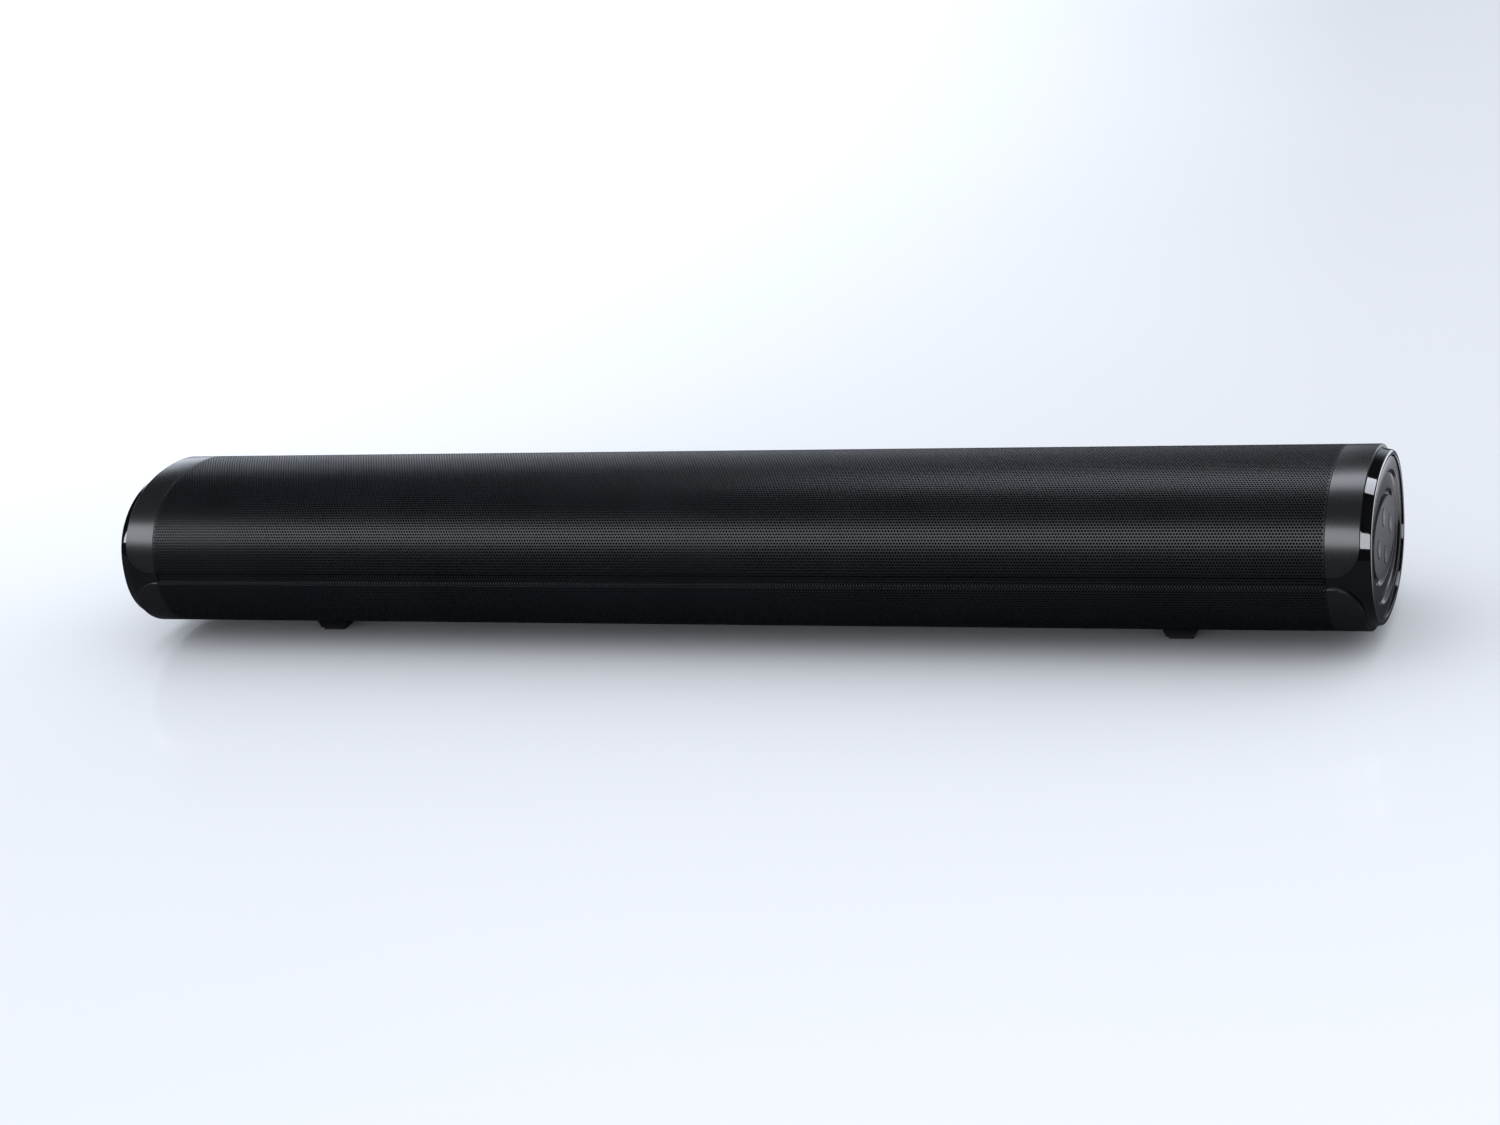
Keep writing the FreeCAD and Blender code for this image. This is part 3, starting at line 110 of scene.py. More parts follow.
def fade(tree: bpy.types.NodeTree, value: bpy.types.NodeSocket, start: float, end: float,
         low: float = 0.0, high: float = 1.0) -> bpy.types.NodeSocket:
    """Adds a soft step from one value to another.

    Args:
        tree: the node tree.
        value: the socket that drives the step.
        start: where the step starts.
        end: where it ends.
        low: the value up to its start.
        high: the value from its end.

    Returns:
        The step's own value.
    """
    return add_node(tree, "ShaderNodeMapRange", {"interpolation_type": "SMOOTHSTEP"},
                    {"From Min": start, "From Max": end, "To Min": low, "To Max": high},
                    {"Value": value}).outputs[0]


class Grain(Enum):
    """How a finish's small-scale surface was formed."""

    SPARKED = "spark-eroded mould, a fine even stipple"
    PEEL = "baked powder, soft orange peel"
    POLISHED = "polished mould, long shallow waves"
    WOVEN = "plain weave of two crossed threads"
    FIBROUS = "pressed pulp with short fibres"
    DRAWN = "lines left by drawing or extruding"
    CELLULAR = "open and closed bubbles"
    ETCHED = "etched copper under lacquer"


@dataclass(frozen=True)
class Finish:
    """One real surface: what it is made of and how it was worked.

    The two colours are the surface's darkest and lightest, the grain size and relief are real
    millimetres, and the roughness runs from its smoothest to its roughest spots.
    """

    name: str
    dark: str
    light: str
    roughness: tuple[float, float]
    grain: Grain
    grain_mm: float
    relief_mm: float
    metallic: float = 0.0
    ior: float = 1.5
    coat: float = 0.0
    transmission: float = 0.0
    sheen: float = 0.0
    specular: float = 0.5
    cloud_mm: float = 45.0
    cloud: float = 0.35

    def _height(self, tree: bpy.types.NodeTree, place: bpy.types.NodeSocket) -> bpy.types.NodeSocket:
        """Adds the grain's own pattern.

        Args:
            tree: the material's node tree.
            place: the socket that gives each point's place in metres.

        Returns:
            The pattern's height, from 0 to 1.
        """
        scale = 1 / (self.grain_mm * MM)
        if self.grain is Grain.WOVEN:
            threads = []
            for direction in ("X", "Z"):
                threads.append(add_node(
                    tree, "ShaderNodeTexWave", {"bands_direction": direction},
                    {"Scale": scale * 0.314, "Distortion": 0.4, "Detail": 1.0, "Detail Scale": 2.0},
                    {"Vector": place}))
            return add_node(tree, "ShaderNodeMath", {"operation": "MAXIMUM"}, None,
                            {0: threads[0].outputs["Fac"], 1: threads[1].outputs["Fac"]}).outputs[0]
        if self.grain is Grain.CELLULAR:
            return add_node(tree, "ShaderNodeTexVoronoi", {"feature": "F1"}, {"Scale": scale},
                            {"Vector": place}).outputs["Distance"]
        if self.grain is Grain.ETCHED:
            return add_node(tree, "ShaderNodeTexBrick", {"offset": 0.37, "squash": 1.4},
                            {"Scale": scale * 0.25, "Mortar Size": 0.03, "Mortar Smooth": 0.1,
                             "Color1": (0.35, 0.35, 0.35, 1), "Color2": (0.6, 0.6, 0.6, 1),
                             "Mortar": (1, 1, 1, 1)}, {"Vector": place}).outputs["Color"]
        stretch = {Grain.DRAWN: (0.02, 1.0, 1.0), Grain.FIBROUS: (0.35, 1.0, 1.0)}.get(self.grain, (1, 1, 1))
        mapped = add_node(tree, "ShaderNodeMapping", None, {"Scale": stretch}, {"Vector": place})
        detail = {Grain.POLISHED: 0.0, Grain.PEEL: 1.0}.get(self.grain, 4.0)
        return add_node(tree, "ShaderNodeTexNoise", None,
                        {"Scale": scale, "Detail": detail, "Roughness": 0.6},
                        {"Vector": mapped.outputs[0]}).outputs["Fac"]

    def make(self) -> bpy.types.Material:
        """Builds the material, or returns it if it is already made."""
        found = bpy.data.materials.get(self.name)
        if found is not None:
            return found
        material = bpy.data.materials.new(self.name)
        material.use_nodes = True
        tree = material.node_tree
        tree.nodes.clear()
        place = add_node(tree, "ShaderNodeTexCoord").outputs["Object"]
        height = self._height(tree, place)
        cloud = add_node(tree, "ShaderNodeTexNoise", None,
                         {"Scale": 1 / (self.cloud_mm * MM), "Detail": 3.0, "Roughness": 0.55},
                         {"Vector": place}).outputs["Fac"]
        mixed = add_node(tree, "ShaderNodeMix", {"data_type": "FLOAT"}, {0: self.cloud},
                         {2: height, 3: cloud}).outputs[0]
        ramp = add_node(tree, "ShaderNodeValToRGB", None, None, {0: mixed})
        ramp.color_ramp.elements[0].position = 0.3
        ramp.color_ramp.elements[1].position = 0.7
        ramp.color_ramp.elements[0].color = linear(self.dark)
        ramp.color_ramp.elements[1].color = linear(self.light)
        rough = add_node(tree, "ShaderNodeMapRange", None,
                         {"From Min": 0.3, "From Max": 0.7, "To Min": self.roughness[0],
                          "To Max": self.roughness[1]}, {"Value": mixed})
        bump = add_node(tree, "ShaderNodeBump", None, {"Strength": 1.0, "Distance": self.relief_mm * MM},
                        {"Height": height})
        shader = add_node(
            tree, "ShaderNodeBsdfPrincipled", None,
            {"Metallic": self.metallic, "IOR": self.ior, "Coat Weight": self.coat, "Coat Roughness": 0.03,
             "Transmission Weight": self.transmission, "Sheen Weight": self.sheen,
             "Specular IOR Level": self.specular},
            {"Base Color": ramp.outputs[0], "Roughness": rough.outputs[0], "Normal": bump.outputs[0]})
        add_node(tree, "ShaderNodeOutputMaterial", None, None, {"Surface": shader.outputs[0]})
        return material


# Powder-coated mild steel: blue-black paint, baked on, whose soft orange peel spreads the highlights.
POWDER_COAT = Finish("powder_coated_mild_steel", "#07080a", "#0e1014", (0.33, 0.43), Grain.PEEL, 0.9, 0.012,
                     specular=0.27)
# Woven polyester scrim: dull black threads that swallow the light behind the holes.
SCRIM = Finish("woven_polyester_scrim", "#010101", "#050506", (0.85, 0.95), Grain.WOVEN, 0.45, 0.08,
               specular=0.1)
# Polished ABS: piano black out of a lapped mould, with mirror-sharp edges of light.
PIANO_ABS = Finish("polished_black_abs", "#020202", "#060607", (0.035, 0.07), Grain.POLISHED, 14.0, 0.004,
                   ior=1.54, coat=0.9)
# Satin ABS: a finely stoned mould, so that lamps show as soft-edged bars.
SATIN_ABS = Finish("satin_black_abs", "#0a0b0c", "#111213", (0.25, 0.31), Grain.SPARKED, 0.25, 0.0012,
                   ior=1.54)
# Spark-eroded ABS: an even stipple that breaks reflections into a dull glow.
STIPPLED_ABS = Finish("spark_eroded_black_abs", "#0d0d0e", "#191a1b", (0.5, 0.62), Grain.SPARKED, 0.5, 0.03,
                      ior=1.54)
# Moulded ABS of the end plates: smoother than the cabinet, so that its steps catch thin arcs of light.
PLATE_ABS = Finish("fine_grained_black_abs", "#050505", "#0a0a0b", (0.13, 0.17), Grain.SPARKED, 0.3, 0.0008,
                   ior=1.54)
# Graphite ABS of the centre disc: a dense matt grain with a faint cold grey.
GRAPHITE_ABS = Finish("moulded_graphite_abs", "#181a1c", "#212426", (0.5, 0.58), Grain.SPARKED, 0.35, 0.01,
                      ior=1.54, specular=0.3)
# Keycaps: the same graphite, polished a little by fingers.
KEYCAP_ABS = Finish("moulded_keycap_abs", "#1c1e20", "#27292b", (0.38, 0.46), Grain.SPARKED, 0.3, 0.006,
                    ior=1.54, specular=0.35)
# Pad-printed ink: a thin grey film with a slightly uneven edge to its gloss.
PAD_INK = Finish("pad_printed_grey_ink", "#5c6063", "#6d7275", (0.5, 0.7), Grain.PEEL, 0.4, 0.003)
# Solder mask over etched copper: glossy green lacquer that rises over the tracks.
SOLDER_MASK = Finish("solder_masked_glass_epoxy", "#0c3a1e", "#1c6a3a", (0.22, 0.38), Grain.ETCHED, 2.5,
                     0.035)
# Moulded epoxy and nylon bodies: slightly chalky, from filled resin.
COMPONENT_RESIN = Finish("moulded_filled_resin", "#121213", "#202022", (0.5, 0.68), Grain.SPARKED, 0.4, 0.01)
# Pressed and painted steel baskets: thin black enamel over drawing marks.
BASKET_ENAMEL = Finish("enamelled_pressed_steel", "#0c0c0d", "#1b1b1c", (0.3, 0.45), Grain.PEEL, 1.1, 0.01)
# Zinc-plated plates: bright, slightly yellow passivation with a turned grain.
ZINC_STEEL = Finish("zinc_plated_steel", "#8d8f8a", "#b9bab2", (0.24, 0.42), Grain.DRAWN, 0.3, 0.004,
                    metallic=1.0)
# Pressed paper cone: short black fibres, fluffy where the press let go.
PAPER_PULP = Finish("pressed_black_paper", "#141414", "#2a2a29", (0.78, 0.92), Grain.FIBROUS, 0.8, 0.06,
                    sheen=0.1)
# Nitrile rubber: matt black with a bloom that greys the high spots.
RUBBER = Finish("moulded_nitrile_rubber", "#111111", "#202020", (0.6, 0.78), Grain.SPARKED, 0.7, 0.012,
                ior=1.52)
# Resin-dipped cotton of the spiders: stiff ochre cloth with visible threads.
SPIDER_COTTON = Finish("resin_dipped_cotton", "#8a6420", "#c49a48", (0.6, 0.8), Grain.WOVEN, 0.6, 0.1)
# Closed-cell foam: a skin of burst bubbles.
FOAM = Finish("closed_cell_foam", "#161616", "#2c2c2c", (0.85, 0.95), Grain.CELLULAR, 0.7, 0.12, sheen=0.1)
# Moulded ABS of the bass ports: smoother inside the flare, so that its lip draws a ring of light.
PORT_ABS = Finish("satin_port_abs", "#0b0b0c", "#151516", (0.3, 0.42), Grain.SPARKED, 0.3, 0.004, ior=1.54)
# Extruded aluminium: long die lines down every fin.
MILL_ALUMINIUM = Finish("mill_finish_aluminium", "#a3a6a9", "#c9cbcd", (0.28, 0.45), Grain.DRAWN, 0.4, 0.006,
                        metallic=1.0)
# Clear lamp lens: water-clear acrylic with faint flow marks.
LAMP_ACRYLIC = Finish("moulded_clear_acrylic", "#c9d2d6", "#e4eaec", (0.06, 0.16), Grain.POLISHED, 2.0, 0.004,
                      ior=1.49, transmission=0.85)
# Infrared window: acrylic dyed so deep a red that it looks black.
INFRARED_ACRYLIC = Finish("dyed_infrared_acrylic", "#12040a", "#1e0810", (0.07, 0.16), Grain.POLISHED, 2.0,
                          0.003, ior=1.49)
# Lead insulation: extruded vinyl with a waxy shine.
VINYL = Finish("extruded_vinyl_insulation", "#121214", "#242427", (0.38, 0.52), Grain.DRAWN, 0.8, 0.008,
               ior=1.53)
# Black zinc screws: dark plating over rolled and punched heads.
SCREW_STEEL = Finish("black_zinc_plated_steel", "#3c3d40", "#606266", (0.3, 0.48), Grain.PEEL, 0.5, 0.01,
                     metallic=1.0)

SLOT_FINISHES: dict[str, Finish] = {
    "cabinet_plastic": STIPPLED_ABS, "perforated_steel": POWDER_COAT, "gloss_cap": PIANO_ABS,
    "satin_band": SATIN_ABS, "end_plate": PLATE_ABS, "control_plate": GRAPHITE_ABS,
    "button_plastic": KEYCAP_ABS, "circuit_board": SOLDER_MASK, "black_component": COMPONENT_RESIN,
    "pressed_steel": BASKET_ENAMEL, "motor_steel": ZINC_STEEL, "paper_cone": PAPER_PULP,
    "soft_rubber": RUBBER, "spider_cloth": SPIDER_COTTON, "foam_gasket": FOAM, "port_plastic": PORT_ABS,
    "aluminium_fins": MILL_ALUMINIUM, "lamp_lens": LAMP_ACRYLIC, "receiver_lens": INFRARED_ACRYLIC,
    "lead_insulation": VINYL, "steel_screw": SCREW_STEEL,
}


# ------------------------------------------------------------------ shape helpers
def new_piece(name: str, places: np.ndarray, faces: list, finish: Finish,
              sharp_degrees: float = SHARP_DEGREES) -> bpy.types.Object:
    """Makes a mesh piece from millimetre points.

    Args:
        name: the piece's name.
        places: an array of points, three numbers each, in millimetres.
        faces: point numbers of each face, anticlockwise from outside.
        finish: its surface.
        sharp_degrees: edges that turn by more than this stay crisp.

    Returns:
        The linked object.
    """
    mesh = bpy.data.meshes.new(name)
    mesh.from_pydata((places * MM).tolist(), [], faces)
    mesh.polygons.foreach_set("use_smooth", [True] * len(mesh.polygons))
    mesh.set_sharp_from_angle(angle=math.radians(sharp_degrees))
    mesh.materials.append(finish.make())
    mesh.validate()
    piece = bpy.data.objects.new(name, mesh)
    bpy.context.scene.collection.objects.link(piece)
    return piece


def ring_faces(ring_count: int, points: int, first: int = 0) -> list[tuple[int, ...]]:
    """Faces that join rings of points one after another, with a cap on the first and the last.

    Args:
        ring_count: how many rings there are.
        points: points in each ring.
        first: number of the first point.

    Returns:
        Quads between the rings and one many-sided face at each end.
    """
    faces = []
    for ring in range(ring_count - 1):
        low = first + ring * points
        for index in range(points):
            after = (index + 1) % points
            faces.append((low + index, low + after, low + points + after, low + points + index))
    faces.append(tuple(first + index for index in reversed(range(points))))
    last = first + (ring_count - 1) * points
    faces.append(tuple(last + index for index in range(points)))
    return faces


def rounded(corners: Outline, radii: list[float], steps: int = 5) -> np.ndarray:
    """An open outline whose inner corners are turned into arcs.

    Args:
        corners: the outline's points.
        radii: one radius for each point, unused at the two ends.
        steps: points on each arc.

    Returns:
        The outline's points, arcs included.
    """
    made = [np.array(corners[0], float)]
    for before, corner, after, radius in zip(corners, corners[1:], corners[2:], radii[1:]):
        here = np.array(corner, float)
        back = np.array(before, float) - here
        ahead = np.array(after, float) - here
        room = min(np.linalg.norm(back), np.linalg.norm(ahead)) * 0.45
        back /= np.linalg.norm(back)
        ahead /= np.linalg.norm(ahead)
        half_turn = math.acos(max(-1.0, min(1.0, float(back @ ahead)))) / 2
        if radius <= 0 or half_turn > math.radians(88):
            made.append(here)
            continue
        reach = min(radius / math.tan(half_turn), room)
        for step in range(steps + 1):
            share = step / steps
            start, end = here + back * reach, here + ahead * reach
            made.append(start * (1 - share) ** 2 + here * 2 * share * (1 - share) + end * share ** 2)
    made.append(np.array(corners[-1], float))
    return np.array(made)


def turned(outline: np.ndarray, centre: tuple[float, float], segments: int) -> tuple[np.ndarray, list]:
    """Turns an outline of (x, radius) points about a line along X.

    Args:
        outline: the points from one end to the other.
        centre: Y and Z of the line.
        segments: sides of the round.

    Returns:
        Points and faces of the turned solid.
    """
    angles = np.linspace(0, 2 * math.pi, segments, endpoint=False)
    rings = [np.stack([np.full(segments, x), centre[0] + radius * np.cos(angles),
                       centre[1] + radius * np.sin(angles)], 1) for x, radius in outline]
    return np.concatenate(rings), ring_faces(len(rings), segments)


def drill(piece: bpy.types.Object, holes: list[tuple[float, float, float]], x0: float, x1: float) -> None:
    """Cuts round holes along X through a piece.

    Args:
        piece: the mesh to cut.
        holes: Y, Z and radius of each hole in millimetres.
        x0: where the holes start.
        x1: where they end.
    """
    parts, faces = [], []
    for y, z, radius in holes:
        places, rod = turned(np.array([(x0, radius), (x1, radius)]), (y, z), ROUND_SIDES)
        base = sum(len(part) for part in parts)
        faces += [tuple(base + index for index in face) for face in rod]
        parts.append(places)
    mesh = bpy.data.meshes.new("drill")
    mesh.from_pydata((np.concatenate(parts) * MM).tolist(), [], faces)
    tool = bpy.data.objects.new("drill", mesh)
    bpy.context.scene.collection.objects.link(tool)
    cut = piece.modifiers.new("holes", "BOOLEAN")
    cut.operation, cut.solver, cut.object = "DIFFERENCE", "EXACT", tool
    bpy.context.view_layer.update()
    graph = bpy.context.evaluated_depsgraph_get()
    result = bpy.data.meshes.new_from_object(piece.evaluated_get(graph), depsgraph=graph)
    piece.modifiers.remove(cut)
    piece.data = result
    result.set_sharp_from_angle(angle=math.radians(SHARP_DEGREES))
    bpy.data.objects.remove(tool)


@dataclass(frozen=True)
class Oval:
    """The bar's section, a rounded box that an inset shrinks evenly on all sides."""

    half_depth: float
    half_height: float
    axis_z: float
    power: float = 2.3

    def points(self, inset: float, angles: np.ndarray) -> np.ndarray:
        """Y and Z at each angle, with Z from the floor."""
        cosine, sine = np.cos(angles), np.sin(angles)
        share = 2 / self.power
        y = (self.half_depth - inset) * np.sign(cosine) * np.abs(cosine) ** share
        z = (self.half_height - inset) * np.sign(sine) * np.abs(sine) ** share
        return np.stack([y, z + self.axis_z], 1)

    def even_angles(self, start: float, end: float, count: int) -> np.ndarray:
        """Spaces points evenly along the section.

        Args:
            start: first angle.
            end: last angle.
            count: how many angles are wanted.

        Returns:
            Angles from start to end whose points lie evenly.
        """
        fine = np.linspace(start, end, 6000)
        places = self.points(0, fine)
        walked = np.concatenate([[0], np.cumsum(np.linalg.norm(np.diff(places, axis=0), axis=1))])
        return np.interp(np.linspace(0, walked[-1], count), walked, fine)

    def front_angle(self, height: float) -> float:
        """Angle of the point on the front at this height from the axis."""
        share = math.copysign(abs(height / self.half_height) ** (self.power / 2), height)
        return math.pi - math.asin(share)

    def depth_angle(self, y: float, above: bool) -> float:
        """Angle of the point at this depth, above or below the axis, from 0 to a full turn."""
        angle = math.acos(math.copysign(abs(y / self.half_depth) ** (self.power / 2), y))
        return angle if above else 2 * math.pi - angle


@dataclass(frozen=True)
class Ends:
    """Where each end of the bar starts, and which way is inwards."""

    half_length: float

    def x(self, side: int, depth: float) -> float:
        """X of the plane this far in from the end on that side."""
        return side * (self.half_length - depth)


def oval_solid(oval: Oval, ends: Ends, side: int, profile: np.ndarray,
               count: int = 360) -> tuple[np.ndarray, list]:
    """Sweeps a profile of (depth from the end, inset) points round the section.

    Args:
        oval: the bar's section.
        ends: where the ends are.
        side: 1 for the right-hand end, -1 for the left.
        profile: points from the solid's first cap round the outside to its last, which lies further in.
        count: points round the section.

    Returns:
        Points and faces of the closed solid.
    """
    angles = oval.even_angles(0, 2 * math.pi, count + 1)[:-1]
    rings = []
    for depth, inset in profile:
        section = oval.points(inset, angles)
        rings.append(np.column_stack([np.full(count, ends.x(side, depth)), section]))
    faces = ring_faces(len(rings), count)
    if side > 0:
        faces = [tuple(reversed(face)) for face in faces]
    return np.concatenate(rings), faces


# ------------------------------------------------------------------ grille
class Rim(NamedTuple):
    """Numbers of the points on the sheet's four edges, and of its four corners."""

    left: np.ndarray
    right: np.ndarray
    bottom: np.ndarray
    top: np.ndarray
    corners: np.ndarray


@dataclass
class FlatSheet:
    """Points and faces of the sheet before it is bent, numbered as they are added."""

    along: list[np.ndarray] = field(default_factory=list)
    across: list[np.ndarray] = field(default_factory=list)
    groups: list[tuple[np.ndarray, np.ndarray]] = field(default_factory=list)
    used: int = 0

    def points(self, along: np.ndarray | float, across: np.ndarray | float) -> np.ndarray:
        """Adds points.

        Args:
            along: X of each point, or one X for them all.
            across: distance of each point along the path, or one for them all.

        Returns:
            The points' numbers, arranged as the points are.
        """
        wide, high = np.broadcast_arrays(along, across)
        self.along.append(wide.ravel())
        self.across.append(high.ravel())
        numbers = np.arange(self.used, self.used + wide.size).reshape(wide.shape)
        self.used += wide.size
        return numbers

    def faces(self, corners: list[np.ndarray], owner: np.ndarray | int) -> None:
        """Adds faces.

        Args:
            corners: numbers of every face's first corner, then of every second one, and so on.
            owner: the column of holes each face belongs to, or one for them all.
        """
        stacked = np.stack([np.ravel(numbers) for numbers in corners], 1)
        self.groups.append((stacked, np.broadcast_to(owner, np.shape(corners[0])).ravel()))


@dataclass
class Grille:
    """Perforated steel sheet wrapped round the front, and the scrim behind it."""

    oval: Oval
    half_length: float
    pitch: float = 1.61
    hole_radius: float = 0.66
    sheet: float = 0.8
    border: float = 0.4
    top_edge_y: float = 29.8
    bottom_edge_y: float = -20.2
    groove_centre: float = -2.9
    groove_width: float = 6.0
    groove_depth: float = 1.8
    groove_slope: float = 0.7
    strips: int = 7
    scrim_gap: float = 0.05
    scrim: float = 0.12
    clearance: float = 0.02
    line_points: int = 4000
    line_step: float = 0.05
    smoothing: int = 15
    kept_end: int = 20

    def path(self) -> np.ndarray:
        """Draws the sheet's outer line from its bottom edge round the front to its top edge.

        Returns:
            Evenly spaced Y and Z, with the channel's corners softened and both ends kept as they are.
        """
        start = self.oval.depth_angle(self.bottom_edge_y, above=False)
        end = self.oval.depth_angle(self.top_edge_y, above=True)
        places = self.oval.points(self.clearance, self.oval.even_angles(start, end, self.line_points))
        height = places[:, 1] - self.oval.axis_z
        distance = np.abs(height - self.groove_centre) - self.groove_width / 2
        sunk = np.clip(0.5 - distance / self.groove_slope, 0, 1) * (places[:, 0] < 0)
        places[:, 0] += self.groove_depth * sunk
        walked = np.concatenate([[0], np.cumsum(np.linalg.norm(np.diff(places, axis=0), axis=1))])
        even = np.arange(0, walked[-1], self.line_step)
        line = np.stack([np.interp(even, walked, places[:, k]) for k in (0, 1)], 1)
        window = np.ones(self.smoothing) / self.smoothing
        spare = self.smoothing - 1
        padded = np.concatenate([np.repeat(line[:1], spare, 0), line, np.repeat(line[-1:], spare, 0)])
        for _ in range(2):
            padded = np.stack([np.convolve(padded[:, k], window, "same") for k in (0, 1)], 1)
        soft = padded[spare:-spare]
        kept = self.kept_end
        soft[:kept], soft[-kept:] = line[:kept], line[-kept:]
        return soft

    def placed(self, along: np.ndarray, across: np.ndarray, depth: float) -> np.ndarray:
        """Places points that are given flat, as on the sheet before it was bent.

        Args:
            along: X of each point.
            across: distance of each point along the path.
            depth: how far under the sheet's outer face they lie.

        Returns:
            X, Y and Z of each point.
        """
        line = self.path()
        steps = np.linalg.norm(np.diff(line, axis=0), axis=1)
        walked = np.concatenate([[0], np.cumsum(steps)])
        tangent = np.gradient(line, axis=0)
        tangent /= np.linalg.norm(tangent, axis=1)[:, None]
        inward = np.stack([tangent[:, 1], -tangent[:, 0]], 1)
        y = np.interp(across, walked, line[:, 0] + inward[:, 0] * depth)
        z = np.interp(across, walked, line[:, 1] + inward[:, 1] * depth)
        return np.stack([along, y, z], 1)

    def length(self) -> float:
        """Length of the sheet's section along its path."""
        line = self.path()
        return float(np.linalg.norm(np.diff(line, axis=0), axis=1).sum())

    def build(self) -> list[bpy.types.Object]:
        """Builds the sheet with its six-cornered holes in staggered rows.

        Returns:
            The strips that the sheet is shared out in, side by side.
        """
        total = self.length()
        width = 2 * (self.half_length - self.border)
        columns = round(width / self.pitch - 0.5)
        pitch = width / (columns + 0.5)
        rows = int((total - 2 * self.border) / self.pitch)
        row_pitch = (total - 2 * self.border) / rows
        left = pitch / 2 - width / 2
        corner = np.radians(30 + 60 * np.arange(6))
        column, row = np.meshgrid(np.arange(columns), np.arange(rows))
        centre_x = left + (column + 0.5 * (row % 2)) * pitch
        centre_s = self.border + (row + 0.5) * row_pitch
        hole_x = centre_x[..., None] + self.hole_radius * np.cos(corner)
        hole_s = centre_s[..., None] + self.hole_radius * np.sin(corner)
        edge = self.half_length
        sheet = FlatSheet()
        ids = sheet.points(hole_x, hole_s)
        rim = Rim(
            left=sheet.points(-edge, hole_s[:, 0, [3, 2]]),
            right=sheet.points(edge, hole_s[:, -1, [5, 0]]),
            bottom=sheet.points(hole_x[0, :, 4], 0.0),
            top=sheet.points(hole_x[-1, :, 1], total),
            corners=sheet.points(np.array([-edge, edge, edge, -edge]), np.array([0.0, 0.0, total, total])),
        )
        self._web(sheet, ids, column, rim)
        self._border(sheet, ids, column, rim)
        rim_x = np.concatenate(sheet.along)[self._hem(rim)]
        hem_owner = np.clip(((rim_x - left) / pitch).astype(int), 0, columns - 1)
        return self._split(self._thicken(sheet, ids, column, rim, hem_owner), sheet.groups, columns)

    def _web(self, sheet: FlatSheet, ids: np.ndarray, column: np.ndarray, rim: Rim) -> None:
        """Adds the metal between the holes, and beside them at the sheet's two short edges.

        Args:
            sheet: the flat sheet.
            ids: numbers of each hole's six corners, by row and column.
            column: each hole's column.
            rim: numbers of the points on the edges.
        """
        last = column[0, -1]
        sheet.faces([ids[:, :-1, 5], ids[:, 1:, 3], ids[:, 1:, 2], ids[:, :-1, 0]], column[:, :-1])
        for parity in (0, 1):
            high = ids[parity + 1::2]
            count = len(high)
            low, own = ids[parity::2][:count], column[parity::2][:count]
            inner, outer = slice(None, -1), slice(1, None)
            every = slice(None)
            right, right_up = (every, every) if parity == 0 else (inner, outer)
            left, left_up = (outer, inner) if parity == 0 else (every, every)
            sheet.faces([low[:, right, 0], high[:, right_up, 4], high[:, right_up, 3], low[:, right, 1]],
                        own[:, right])
            sheet.faces([low[:, left, 1], high[:, left_up, 5], high[:, left_up, 4], low[:, left, 2]],
                        own[:, left])
            near, far = (inner, outer) if parity == 0 else (outer, inner)
            sheet.faces([low[:, :-1, 0], low[:, 1:, 2], high[:, near, 4]], own[:, :-1])
            sheet.faces([low[:, far, 1], high[:, 1:, 3], high[:, :-1, 5]], own[:, :-1])
            here = np.arange(parity, parity + 2 * count, 2)
            left_tip = low[:, 0, 1] if parity == 0 else high[:, 0, 4]
            right_tip = high[:, -1, 4] if parity == 0 else low[:, -1, 1]
            sheet.faces([rim.left[here, 1], low[:, 0, 2], left_tip, high[:, 0, 3], rim.left[here + 1, 0]], 0)
            sheet.faces([low[:, -1, 0], rim.right[here, 1], rim.right[here + 1, 0], high[:, -1, 5],
                         right_tip], last)

    def _border(self, sheet: FlatSheet, ids: np.ndarray, column: np.ndarray, rim: Rim) -> None:
        """Adds the metal beside the outermost holes, and the sheet's four corners.

        Args:
            sheet: the flat sheet.
            ids: numbers of each hole's six corners, by row and column.
            column: each hole's column.
            rim: numbers of the points on the edges.
        """
        last = column[0, -1]
        sheet.faces([rim.left[:, 0], ids[:, 0, 3], ids[:, 0, 2], rim.left[:, 1]], 0)
        sheet.faces([ids[:, -1, 5], rim.right[:, 0], rim.right[:, 1], ids[:, -1, 0]], last)
        sheet.faces([rim.bottom[:-1], rim.bottom[1:], ids[0, 1:, 4], ids[0, 1:, 3], ids[0, :-1, 5],
                     ids[0, :-1, 4]], column[0, :-1])
        sheet.faces([ids[-1, :-1, 1], ids[-1, :-1, 0], ids[-1, 1:, 2], ids[-1, 1:, 1], rim.top[1:],
                     rim.top[:-1]], column[0, :-1])
        for loop, owner in (
            ((rim.corners[0], rim.bottom[0], ids[0, 0, 4], ids[0, 0, 3], rim.left[0, 0]), 0),
            ((rim.bottom[-1], rim.corners[1], rim.right[0, 0], ids[0, -1, 5], ids[0, -1, 4]), last),
            ((rim.left[-1, 1], ids[-1, 0, 2], ids[-1, 0, 1], rim.top[0], rim.corners[3]), 0),
            ((ids[-1, -1, 1], ids[-1, -1, 0], rim.right[-1, 1], rim.corners[2], rim.top[-1]), last),
        ):
            sheet.faces([np.array([number]) for number in loop], owner)

    def _hem(self, rim: Rim) -> np.ndarray:
        """Numbers of the edge points, once round the sheet."""
        return np.concatenate([rim.corners[:1], rim.bottom, rim.corners[1:2], rim.right.ravel(),
                               rim.corners[2:3], rim.top[::-1], rim.corners[3:], rim.left.ravel()[::-1]])

